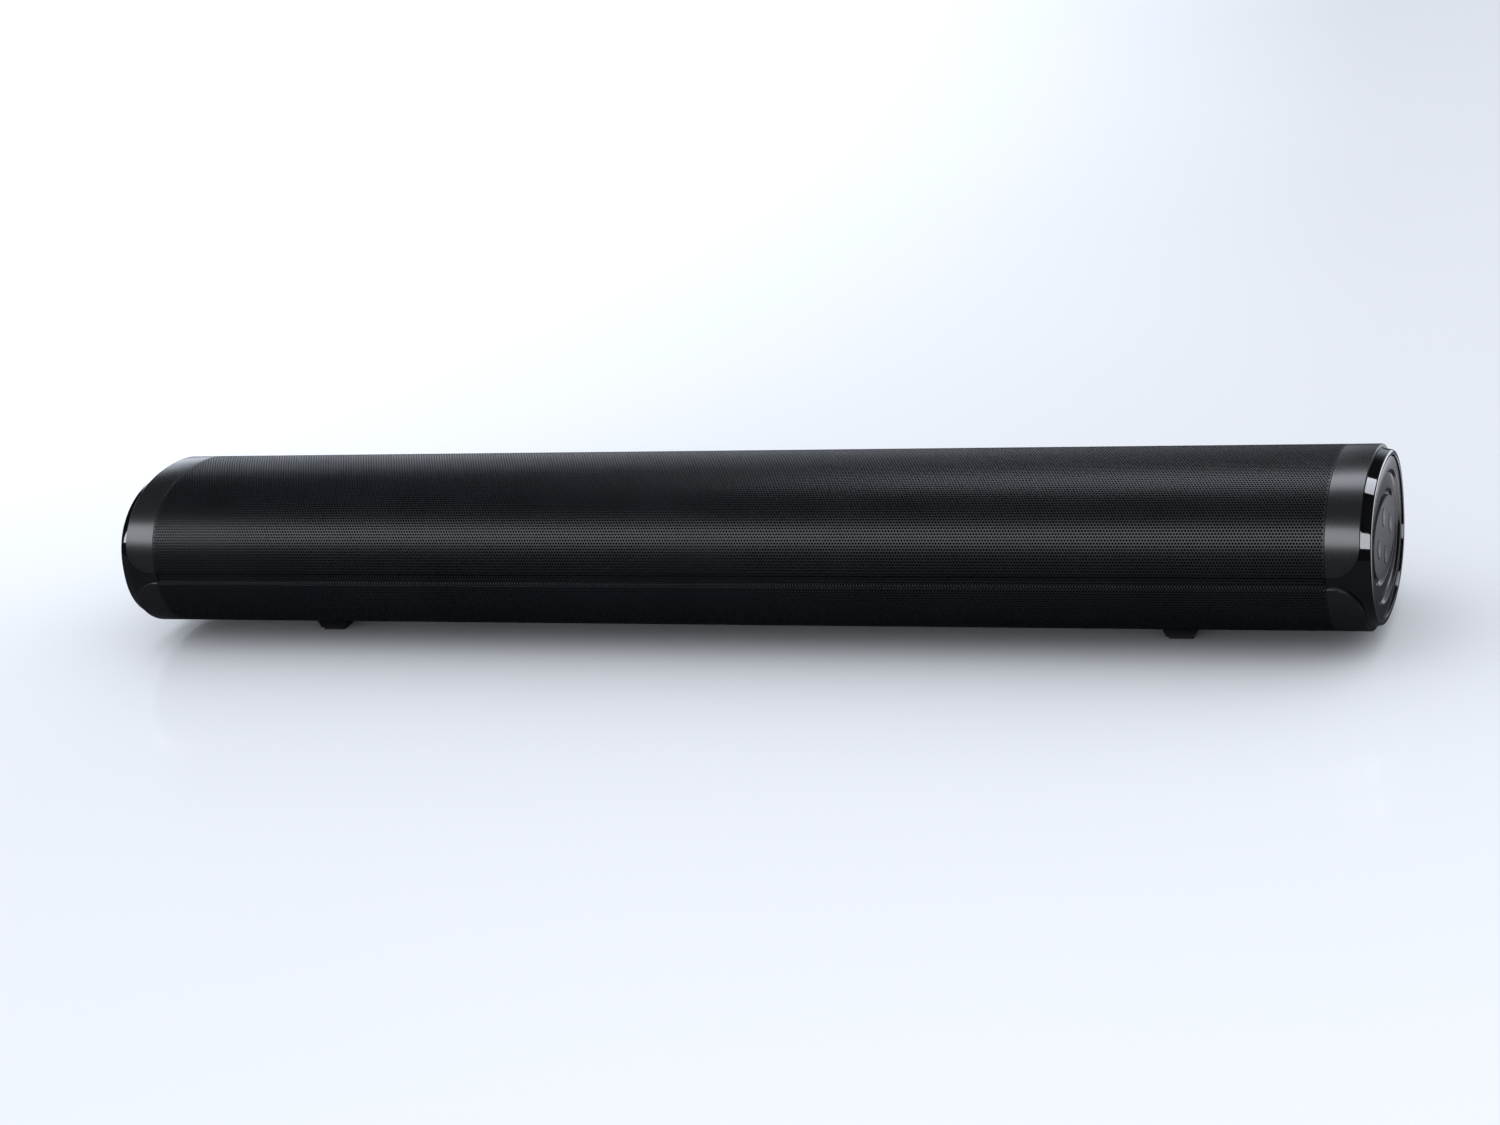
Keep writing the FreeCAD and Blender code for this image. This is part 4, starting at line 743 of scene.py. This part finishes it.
    def _thicken(self, sheet: FlatSheet, ids: np.ndarray, column: np.ndarray, rim: Rim,
                 hem_owner: np.ndarray) -> np.ndarray:
        """Gives the sheet its back, the walls of its holes and its edges.

        Args:
            sheet: the flat sheet, whose faces so far are its front.
            ids: numbers of each hole's six corners, by row and column.
            column: each hole's column.
            rim: numbers of the points on the edges.
            hem_owner: the column that each face of the edges belongs to.

        Returns:
            X, Y and Z of every point of the front and then of the back.
        """
        along, across = np.concatenate(sheet.along), np.concatenate(sheet.across)
        lift = len(along)
        sheet.groups += [(faces[:, ::-1] + lift, owner) for faces, owner in sheet.groups]
        following = np.roll(ids, -1, 2)
        sheet.faces([ids, following, following + lift, ids + lift], column[..., None])
        hem = self._hem(rim)
        after = np.roll(hem, -1)
        sheet.faces([after, hem, hem + lift, after + lift], hem_owner)
        return np.concatenate([self.placed(along, across, 0), self.placed(along, across, self.sheet)])

    def _split(self, places: np.ndarray, groups: list, columns: int) -> list[bpy.types.Object]:
        """Shares the faces out among the strips.

        Args:
            places: every point of the sheet.
            groups: faces with the same number of corners, and the column each belongs to.
            columns: how many columns of holes there are.

        Returns:
            The strips.
        """
        made = []
        limits = np.linspace(0, columns, self.strips + 1).astype(int)
        for number, (low, high) in enumerate(zip(limits, limits[1:]), start=1):
            loops, sizes = [], []
            for faces, owner in groups:
                mine = faces[(owner >= low) & (owner < high)]
                loops.append(mine.ravel())
                sizes.append(np.full(len(mine), faces.shape[1]))
            loops, sizes = np.concatenate(loops), np.concatenate(sizes)
            kept, numbers = np.unique(loops, return_inverse=True)
            mesh = bpy.data.meshes.new(f"front_grille_strip_{number}")
            mesh.vertices.add(len(kept))
            mesh.vertices.foreach_set("co", (places[kept] * MM).astype(np.float32).ravel())
            mesh.loops.add(len(numbers))
            mesh.loops.foreach_set("vertex_index", numbers.astype(np.int32))
            mesh.polygons.add(len(sizes))
            starts = np.concatenate([[0], np.cumsum(sizes)[:-1]])
            mesh.polygons.foreach_set("loop_start", starts.astype(np.int32))
            mesh.update(calc_edges=True)
            mesh.polygons.foreach_set("use_smooth", np.ones(len(sizes), bool))
            mesh.set_sharp_from_angle(angle=math.radians(40))
            mesh.materials.append(POWDER_COAT.make())
            piece = bpy.data.objects.new(mesh.name, mesh)
            bpy.context.scene.collection.objects.link(piece)
            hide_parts("front_grille")
            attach(piece, "cabinet")
            made.append(piece)
        return made

    def build_scrim(self) -> bpy.types.Object:
        """Builds the black cloth that is glued behind the sheet."""
        total = self.length()
        across = np.linspace(self.border, total - self.border, 420)
        outer = self.sheet + self.scrim_gap
        stations = np.linspace(-self.half_length + self.border, self.half_length - self.border, 12)
        rings = []
        for x in stations:
            along = np.full(len(across), x)
            near = self.placed(along, across, outer)
            far = self.placed(along, across, outer + self.scrim)
            rings.append(np.concatenate([near, far[::-1]]))
        faces = [tuple(reversed(face)) for face in ring_faces(len(rings), len(rings[0]))]
        piece = new_piece("grille_scrim", np.concatenate(rings), faces, SCRIM, 60)
        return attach(piece, "cabinet")


# ------------------------------------------------------------------ end caps
@dataclass
class EndCap:
    """One closed end: glossy cup, satin band with its two petals, dished face and centre disc."""

    oval: Oval
    ends: Ends
    side: int
    band_start: float = 5.2
    band_width: float = 17.3
    band_thickness: float = 1.9
    cup_inset: float = 2.0
    cup_rim_inset: float = 3.2
    cup_rim_width: float = 2.8
    cup_wall: float = 2.5
    cup_floor: float = 2.6
    ledge_depth: float = 5.0
    ledge_thickness: float = 1.5
    ledge_width: float = 2.5
    groove_top: float = 0.1
    groove_bottom: float = -5.9
    upper_petal: tuple[float, float] = (15.0, 15.6)
    lower_petal: tuple[float, float] = (15.6, 15.8)
    face_setback: float = 0.8
    face_fit: float = 0.2
    step_depth: float = 1.5
    step_insets: tuple[float, float] = (13.0, 22.5)
    disc_inset: float = 26.0
    disc_setback: float = 2.0

    @property
    def hand(self) -> str:
        """Name of this end."""
        return "right" if self.side > 0 else "left"

    def _swept(self, name: str, profile: np.ndarray, finish: Finish) -> bpy.types.Object:
        """Sweeps a profile round the section and makes a piece of it.

        Args:
            name: the piece's name.
            profile: points of (depth from the end, inset).
            finish: its surface.

        Returns:
            The piece.
        """
        places, faces = oval_solid(self.oval, self.ends, self.side, profile)
        return new_piece(name, places, faces, finish)

    def cup(self) -> bpy.types.Object:
        """Builds the piano-black cup with its rounded rim."""
        floor = self.band_start + self.band_width + 0.1
        inside = self.cup_inset + self.cup_wall
        rim = self.cup_rim_inset + self.cup_rim_width
        ledge_back = self.ledge_depth + self.ledge_thickness
        corners = [
            (floor - self.cup_floor, inside), (ledge_back, inside), (ledge_back, rim + self.ledge_width),
            (self.ledge_depth, rim + self.ledge_width), (self.ledge_depth, rim), (0, rim),
            (0, self.cup_rim_inset), (self.band_start, self.cup_inset), (floor, self.cup_inset),
        ]
        profile = rounded(corners, [0, 0, 0, 0, 0, 0.5, 0.9, 3.0, 0], 6)
        piece = self._swept(f"end_cup_{self.hand}_shell", profile, PIANO_ABS)
        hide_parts(f"end_cup_{self.hand}")
        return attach(piece, "cabinet")

    def band(self) -> bpy.types.Object:
        """Builds the satin sleeve, from the tip of its upper petal round the back to the lower one."""
        steps = np.radians(np.linspace(0, 90, 28))
        across, up = self.upper_petal
        edge = self.band_start
        angles = [self.oval.front_angle(self.groove_top + up * (1 - math.cos(step))) for step in steps]
        outer = [edge + across * (1 - math.sin(step)) for step in steps]
        across, down = self.lower_petal
        low_angles = [self.oval.front_angle(self.groove_bottom - down * (1 - math.cos(step)))
                      for step in steps]
        low_outer = [edge + across * (1 - math.sin(step)) for step in steps]
        round_back = self.oval.even_angles(angles[-1], low_angles[-1] - 2 * math.pi, 300)[1:-1]
        angles += list(round_back) + [angle - 2 * math.pi for angle in reversed(low_angles)]
        outer += [edge] * len(round_back) + list(reversed(low_outer))
        inner = edge + self.band_width
        rings = []
        for index, (angle, start) in enumerate(zip(angles, outer)):
            tip = min(index, len(angles) - 1 - index)
            shrink = {0: 0.55, 1: 0.25, 2: 0.1}.get(tip, 0.0)
            radius = 0.4
            low, high = start + shrink, inner - shrink
            deep = self.band_thickness - shrink * 0.5
            mid = (low + high) / 2
            corners = [(mid, shrink), (high, shrink), (high, deep), (low, deep), (low, shrink), (mid, shrink)]
            section = rounded(corners, [0, radius * 0.6, 0.2, 0.2, radius, 0], 5)[:-1]
            ring = [[self.ends.x(self.side, depth), *self.oval.points(inset, np.array([angle]))[0]]
                    for depth, inset in section]
            rings.append(np.array(ring))
        faces = ring_faces(len(rings), len(rings[0]))
        if self.side > 0:
            faces = [tuple(reversed(face)) for face in faces]
        piece = new_piece(f"end_band_{self.hand}_sleeve", np.concatenate(rings), faces, SATIN_ABS)
        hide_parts(f"end_band_{self.hand}")
        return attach(piece, "cabinet")

    def face(self, holes: list[tuple[float, float, float]]) -> bpy.types.Object:
        """Builds the dished plate with its two sloped steps.

        Args:
            holes: Y, Z and radius of each button hole.

        Returns:
            The plate.
        """
        outer = self.cup_rim_inset + self.cup_rim_width + self.face_fit
        depth = self.face_setback
        corners = [(self.ledge_depth, outer), (depth, outer)]
        radii = [0, 0.35]
        for inset in self.step_insets:
            corners += [(depth, inset), (depth + self.step_depth, inset + self.step_depth)]
            radii += [0.5, 0.5]
            depth += self.step_depth
        corners.append((depth, self.disc_inset + 3))
        radii.append(0)
        profile = rounded(corners, radii)[::-1]
        piece = self._swept(f"end_face_{self.hand}_dish", profile, PLATE_ABS)
        if holes:
            self._drill(piece, holes)
        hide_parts(f"end_face_{self.hand}")
        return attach(piece, "cabinet")

    def disc(self, holes: list[tuple[float, float, float]]) -> bpy.types.Object:
        """Builds the graphite disc in the middle of the dish.

        Args:
            holes: Y, Z and radius of each button hole.

        Returns:
            The disc.
        """
        node = "control_disc" if self.side > 0 else "blank_disc"
        back = self.face_setback + 2 * self.step_depth
        corners = [(back, self.disc_inset), (self.disc_setback, self.disc_inset),
                   (self.disc_setback, self.disc_inset + 4)]
        profile = rounded(corners, [0, 0.45, 0])[::-1]
        piece = self._swept(f"{node}_plate", profile, GRAPHITE_ABS)
        if holes:
            self._drill(piece, holes)
        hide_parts(node)
        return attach(piece, "cabinet")

    def _drill(self, piece: bpy.types.Object, holes: list[tuple[float, float, float]]) -> None:
        """Cuts the button holes from outside the end to well behind the plate."""
        low, high = sorted((self.ends.x(self.side, -2), self.ends.x(self.side, 12)))
        drill(piece, holes, low, high)


# ------------------------------------------------------------------ buttons
class Mark(Enum):
    """The generic sign printed on a keycap."""

    PLUS = "louder"
    MINUS = "quieter"
    STANDBY = "on and standby"
    INPUT = "choose a source"


@dataclass
class Buttons:
    """Four push buttons in the centre disc, each on its own CAD body."""

    ends: Ends
    setback: float = 2.0
    proud: float = 0.3
    radius: float = 4.5
    gap: float = 0.35
    dish: float = 0.25
    ink: float = 0.03
    ink_root: float = 0.2
    line: float = 0.55
    lip_front: float = 5.15
    lip: float = 1.3
    lip_thickness: float = 1.0
    stem_radius: float = 1.5
    stem: float = 3.0

    def places(self) -> dict[str, tuple[float, float]]:
        """Y and Z of each button's middle, from its CAD box."""
        found = {}
        for name in ("button_volume_up", "button_volume_down", "button_source", "button_power"):
            low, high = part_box(name)
            found[name] = ((low.y + high.y) / 2 / MM, (low.z + high.z) / 2 / MM)
        return found

    def holes(self) -> list[tuple[float, float, float]]:
        """Y, Z and radius of the hole round each button."""
        return [(y, z, self.radius + self.gap) for y, z in self.places().values()]

    def _bar(self, half_width: float, half_height: float) -> list[Outline]:
        """A straight stroke centred on the keycap."""
        return [[(-half_width, -half_height), (half_width, -half_height), (half_width, half_height),
                 (-half_width, half_height)]]

    def _arc(self, radius: float, start: float, end: float) -> list[Outline]:
        """A curved stroke from one angle to another, in degrees."""
        angles = np.radians(np.linspace(start, end, 25))
        half = self.line / 2
        outer = [((radius + half) * math.cos(a), (radius + half) * math.sin(a)) for a in angles]
        inner = [((radius - half) * math.cos(a), (radius - half) * math.sin(a)) for a in reversed(angles)]
        return [outer + inner]

    def _strokes(self, mark: Mark) -> list[Outline]:
        """Draws a mark.

        Args:
            mark: which sign it is.

        Returns:
            Its closed flat outlines, across and up from the keycap's middle.
        """
        half = self.line / 2
        if mark is Mark.PLUS:
            return [[(-1.7, -half), (-half, -half), (-half, -1.7), (half, -1.7), (half, -half), (1.7, -half),
                     (1.7, half), (half, half), (half, 1.7), (-half, 1.7), (-half, half), (-1.7, half)]]
        if mark is Mark.MINUS:
            return self._bar(1.7, half)
        if mark is Mark.STANDBY:
            bar = [[(x, z + 1.1) for x, z in self._bar(half, 0.85)[0]]]
            return self._arc(1.5, 125, 415) + bar
        arrow = [[(-2.0, -half), (-0.1, -half), (-0.1, -0.9), (0.9, 0), (-0.1, 0.9), (-0.1, half),
                  (-2.0, half)]]
        return arrow + self._arc(1.6, -62, 62)

    def build(self) -> list[bpy.types.Object]:
        """Builds every keycap with its printed mark."""
        marks = {"button_volume_up": Mark.PLUS, "button_volume_down": Mark.MINUS,
                 "button_source": Mark.INPUT, "button_power": Mark.STANDBY}
        front = self.setback - self.proud
        lip_back = self.lip_front + self.lip_thickness
        corners = [
            (lip_back + self.stem, self.stem_radius), (lip_back, self.stem_radius),
            (lip_back, self.radius + self.lip), (self.lip_front, self.radius + self.lip),
            (self.lip_front, self.radius), (front, self.radius), (front, self.radius - 0.7),
            (front + self.dish * 0.8, self.radius * 0.45), (front + self.dish, 0.15),
        ]
        profile = rounded(corners, [0, 0, 0.2, 0.2, 0, 0.5, 0.2, 1.5, 0])
        made = []
        for name, (y, z) in self.places().items():
            outline = np.array([(self.ends.x(1, depth), radius) for depth, radius in profile])
            places, faces = turned(outline, (y, z), ROUND_SIDES)
            piece = new_piece(f"{name}_keycap", places, faces, KEYCAP_ABS)
            self._print(piece, self._strokes(marks[name]), (y, z), front)
            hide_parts(name)
            made.append(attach(piece, f"{name}_key"))
        return made

    def _print(self, piece: bpy.types.Object, strokes: list[Outline], centre: tuple[float, float],
               front: float) -> None:
        """Adds the ink's thin raised strokes to the keycap's own mesh.

        Args:
            piece: the keycap.
            strokes: closed outlines of the sign.
            centre: Y and Z of the keycap's middle.
            front: depth of its rim from the end.
        """
        mesh = piece.data
        points = [tuple(v.co) for v in mesh.vertices]
        faces = [tuple(p.vertices) for p in mesh.polygons]
        kinds = [0] * len(faces)
        for outline in strokes:
            base, count = len(points), len(outline)
            for lift in (-self.ink_root, self.ink):
                for across, up in outline:
                    sag = self.dish * (1 - min(1.0, math.hypot(across, up) / (self.radius * 0.8)) ** 2)
                    x = self.ends.x(1, front + sag - lift)
                    points.append((x * MM, (centre[0] + across) * MM, (centre[1] + up) * MM))
            new = [tuple(base + count + i for i in range(count)),
                   tuple(base + i for i in reversed(range(count)))]
            for i in range(count):
                after = (i + 1) % count
                new.append((base + i, base + after, base + count + after, base + count + i))
            faces += new
            kinds += [1] * len(new)
        fresh = bpy.data.meshes.new(mesh.name)
        fresh.from_pydata(points, [], faces)
        fresh.materials.append(KEYCAP_ABS.make())
        fresh.materials.append(PAD_INK.make())
        fresh.polygons.foreach_set("material_index", kinds)
        fresh.polygons.foreach_set("use_smooth", [True] * len(faces))
        fresh.set_sharp_from_angle(angle=math.radians(SHARP_DEGREES))
        piece.data = fresh


# ------------------------------------------------------------------ carried-over nodes
@dataclass
class CadDressing:
    """Gives each CAD node that stays in view its real finish."""

    record: dict
    nodes: dict

    def dress(self) -> int:
        """Puts each node's finish in its material slots.

        Returns:
            How many nodes were dressed.
        """
        slots = {part["node"]: part["material_slot"] for part in self.record["subparts"]}
        for name, node in self.nodes.items():
            material = SLOT_FINISHES[slots[name]].make()
            for index in range(len(node.material_slots)):
                node.material_slots[index].material = material
        return len(self.nodes)


# ------------------------------------------------------------------ studio
@dataclass(frozen=True)
class Softbox:
    """A diffused lamp on a stand, aimed at a point."""

    name: str
    place: tuple[float, float, float]
    aim: tuple[float, float, float]
    width: float
    height: float
    power: float
    colour: str = "#ffffff"

    def build(self) -> bpy.types.Object:
        """Adds the lamp to the scene."""
        data = bpy.data.lights.new(self.name, "AREA")
        data.shape = "RECTANGLE"
        data.size = self.width
        data.size_y = self.height
        data.energy = self.power
        data.color = linear(self.colour)[:3]
        lamp = bpy.data.objects.new(self.name, data)
        lamp.location = self.place
        lamp.visible_camera = False
        lamp.rotation_euler = (Vector(self.aim) - Vector(self.place)).to_track_quat("-Z", "Y").to_euler()
        bpy.context.scene.collection.objects.link(lamp)
        return lamp


@dataclass
class Studio:
    """Pale floor, soft lamps and the camera."""

    axis_z: float
    end_x: float
    camera_offset: tuple[float, float, float] = (584.07, -1477.04, 532.27)
    yaw: float = 0.3731
    pitch: float = 0.3323
    roll: float = -0.1244
    lens: float = 73.0
    sensor: float = 36.0

    def camera(self) -> None:
        """Adds the camera, turned by its yaw, pitch and roll."""
        data = bpy.data.cameras.new("camera")
        data.lens = self.lens
        data.sensor_width = self.sensor
        data.clip_start = 0.05
        data.clip_end = 60
        camera = bpy.data.objects.new("camera", data)
        forward = Vector((-math.sin(self.yaw) * math.cos(self.pitch),
                          math.cos(self.yaw) * math.cos(self.pitch), -math.sin(self.pitch)))
        level = Vector((math.cos(self.yaw), math.sin(self.yaw), 0))
        upright = level.cross(forward)
        right = level * math.cos(self.roll) + upright * math.sin(self.roll)
        up = upright * math.cos(self.roll) - level * math.sin(self.roll)
        turn = Matrix((right, up, -forward)).transposed().to_4x4()
        x, y, z = self.camera_offset
        camera.matrix_world = Matrix.Translation((x * MM, y * MM, (z + self.axis_z) * MM)) @ turn
        bpy.context.scene.collection.objects.link(camera)
        bpy.context.scene.camera = camera

    def floor(self) -> bpy.types.Object:
        """Adds a wide pale floor with a faint polish.

        Glossy rays see it dark grey, a painted shade that keeps it out of the bar's reflections. Only beyond
        the control end, from the bar's middle line backwards, does it stay pale, and the end plate's steps
        reflect that patch as thin arcs.
        """
        mesh = bpy.data.meshes.new("floor")
        reach = 40.0
        mesh.from_pydata([(-reach, -reach, 0), (reach, -reach, 0), (reach, reach, 0), (-reach, reach, 0)], [],
                         [(0, 1, 2, 3)])
        floor = bpy.data.objects.new("floor", mesh)
        bpy.context.scene.collection.objects.link(floor)
        material = bpy.data.materials.new("pale_lacquered_board")
        material.use_nodes = True
        tree = material.node_tree
        tree.nodes.clear()
        rays = add_node(tree, "ShaderNodeLightPath")
        place = add_node(tree, "ShaderNodeTexCoord").outputs["Object"]
        cloud = add_node(tree, "ShaderNodeTexNoise", None, {"Scale": 1.2, "Detail": 2.0}, {"Vector": place})
        ramp = add_node(tree, "ShaderNodeValToRGB", None, None, {0: cloud.outputs["Fac"]})
        ramp.color_ramp.elements[0].color = linear("#eef1f5")
        ramp.color_ramp.elements[1].color = linear("#f4f6f9")
        seen = add_node(tree, "ShaderNodeBsdfPrincipled", None, {"Roughness": 0.13},
                        {"Base Color": ramp.outputs[0]})
        parts = add_node(tree, "ShaderNodeSeparateXYZ", None, None, {0: place}).outputs
        # Patch beyond the control end, from the bar's middle line back, that glossy rays still see pale.
        beyond = fade(tree, parts["X"], self.end_x + 0.03, self.end_x + 0.08)
        aside = fade(tree, parts["Y"], -0.06, 0.0)
        unshaded_floor_patch = add_node(tree, "ShaderNodeMath", {"operation": "MULTIPLY"}, None, {0: beyond, 1: aside})
        # Painted shade: in glossy rays the floor is dark grey outside that patch, which darkens its
        # reflections in the bar.
        reflected_floor_shade = add_node(tree, "ShaderNodeMix", {"data_type": "RGBA"},
                        {6: linear("#484a4e"), 7: linear("#e4e7ea")}, {0: unshaded_floor_patch.outputs[0]})
        dim = add_node(tree, "ShaderNodeBsdfDiffuse", None, None, {"Color": reflected_floor_shade.outputs[2]})
        both = add_node(tree, "ShaderNodeMixShader", None, None,
                        {0: rays.outputs["Is Glossy Ray"], 1: seen.outputs[0], 2: dim.outputs[0]})
        add_node(tree, "ShaderNodeOutputMaterial", None, None, {"Surface": both.outputs[0]})
        mesh.materials.append(material)
        return floor

    def sky(self) -> None:
        """Fills the room with even pale light that shows only faintly in glossy surfaces."""
        world = bpy.data.worlds.new("studio_air")
        world.use_nodes = True
        tree = world.node_tree
        tree.nodes.clear()
        rays = add_node(tree, "ShaderNodeLightPath")
        heading = add_node(tree, "ShaderNodeTexCoord").outputs["Generated"]
        parts = add_node(tree, "ShaderNodeSeparateXYZ", None, None, {0: heading}).outputs
        low = fade(tree, parts["Z"], 0.12, 0.38, 1.0, 0.0)
        behind = fade(tree, parts["Y"], 0.1, 0.5)
        backdrop = add_node(tree, "ShaderNodeMath", {"operation": "MULTIPLY"}, None, {0: low, 1: behind})
        leftward = add_node(tree, "ShaderNodeMapRange", None,
                            {"From Min": -0.15, "From Max": -0.5, "To Min": 0.45, "To Max": 3.4},
                            {"Value": parts["X"]})
        glow = add_node(tree, "ShaderNodeMath", {"operation": "MULTIPLY_ADD"}, {2: 0.02},
                        {0: backdrop.outputs[0], 1: leftward.outputs[0]})
        pale = add_node(tree, "ShaderNodeBackground", None, {"Color": linear("#f6f9ff"), "Strength": 1.22})
        dark = add_node(tree, "ShaderNodeBackground", None, {"Color": linear("#dfe6f2")},
                        {"Strength": glow.outputs[0]})
        both = add_node(tree, "ShaderNodeMixShader", None, None,
                        {0: rays.outputs["Is Glossy Ray"], 1: pale.outputs[0], 2: dark.outputs[0]})
        add_node(tree, "ShaderNodeOutputWorld", None, None, {"Surface": both.outputs[0]})
        bpy.context.scene.world = world

    def lamps(self, floor: bpy.types.Object) -> None:
        """Hangs a long box over the front and one behind, and lays a small one by the control end.

        The floor itself is lit by the sky alone, so that the bar's own shadow stays soft and grey.
        """
        centre = (0.0, 0.0, self.axis_z * MM)
        unlit = bpy.data.collections.new("not_lit_by_softboxes")
        unlit.objects.link(floor)
        unlit.collection_objects[0].light_linking.link_state = "EXCLUDE"
        for softbox in (
            Softbox("front_softbox", (-0.35, -1.35, 1.2), centre, 4.6, 1.0, 84.0, "#f4f7ff"),
            Softbox("rear_softbox", (0.15, 0.95, 1.4), centre, 1.3, 0.6, 11.8, "#f0f4ff"),
        ):
            softbox.build().light_linking.receiver_collection = unlit
        kicker = (self.end_x + 0.24, 0.2, 0.004)
        Softbox("end_kicker", kicker, (kicker[0], kicker[1], 1.0), 0.4, 0.34, 0.45, "#f4f7ff").build()

    def build(self) -> None:
        """Sets up everything that isn't the object."""
        self.camera()
        self.sky()
        self.lamps(self.floor())
        bpy.context.scene.view_settings.view_transform = "Standard"


def report(pieces: tuple[bpy.types.Object, ...] | list[bpy.types.Object]) -> None:
    """Logs each piece's name and how many faces it has."""
    for piece in pieces:
        LOG.info("%s: %d faces", piece.name, len(piece.data.polygons))


def main() -> None:
    """Builds the studio and every piece."""
    logging.basicConfig(level=logging.INFO, format="%(name)s: %(message)s")
    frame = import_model()
    low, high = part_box("end_band_right")
    oval = Oval(
        half_depth=(high.y - low.y) / 2 / MM,
        half_height=(high.z - low.z) / 2 / MM,
        axis_z=(high.z + low.z) / 2 / MM,
    )
    ends = Ends(half_length=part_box("end_cup_right")[1].x / MM)
    Studio(axis_z=oval.axis_z, end_x=ends.half_length * MM).build()
    LOG.info("dressed %d CAD nodes", CadDressing(frame["record"], frame["nodes"]).dress())
    grille = Grille(oval=oval, half_length=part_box("front_grille")[1].x / MM)
    report(grille.build() + [grille.build_scrim()])
    buttons = Buttons(ends=ends)
    for side in (-1, 1):
        cap = EndCap(oval=oval, ends=ends, side=side)
        holes = buttons.holes() if side > 0 else []
        report((cap.cup(), cap.band(), cap.face(holes), cap.disc(holes)))
    report(buttons.build())


if __name__ == "__main__":
    main()
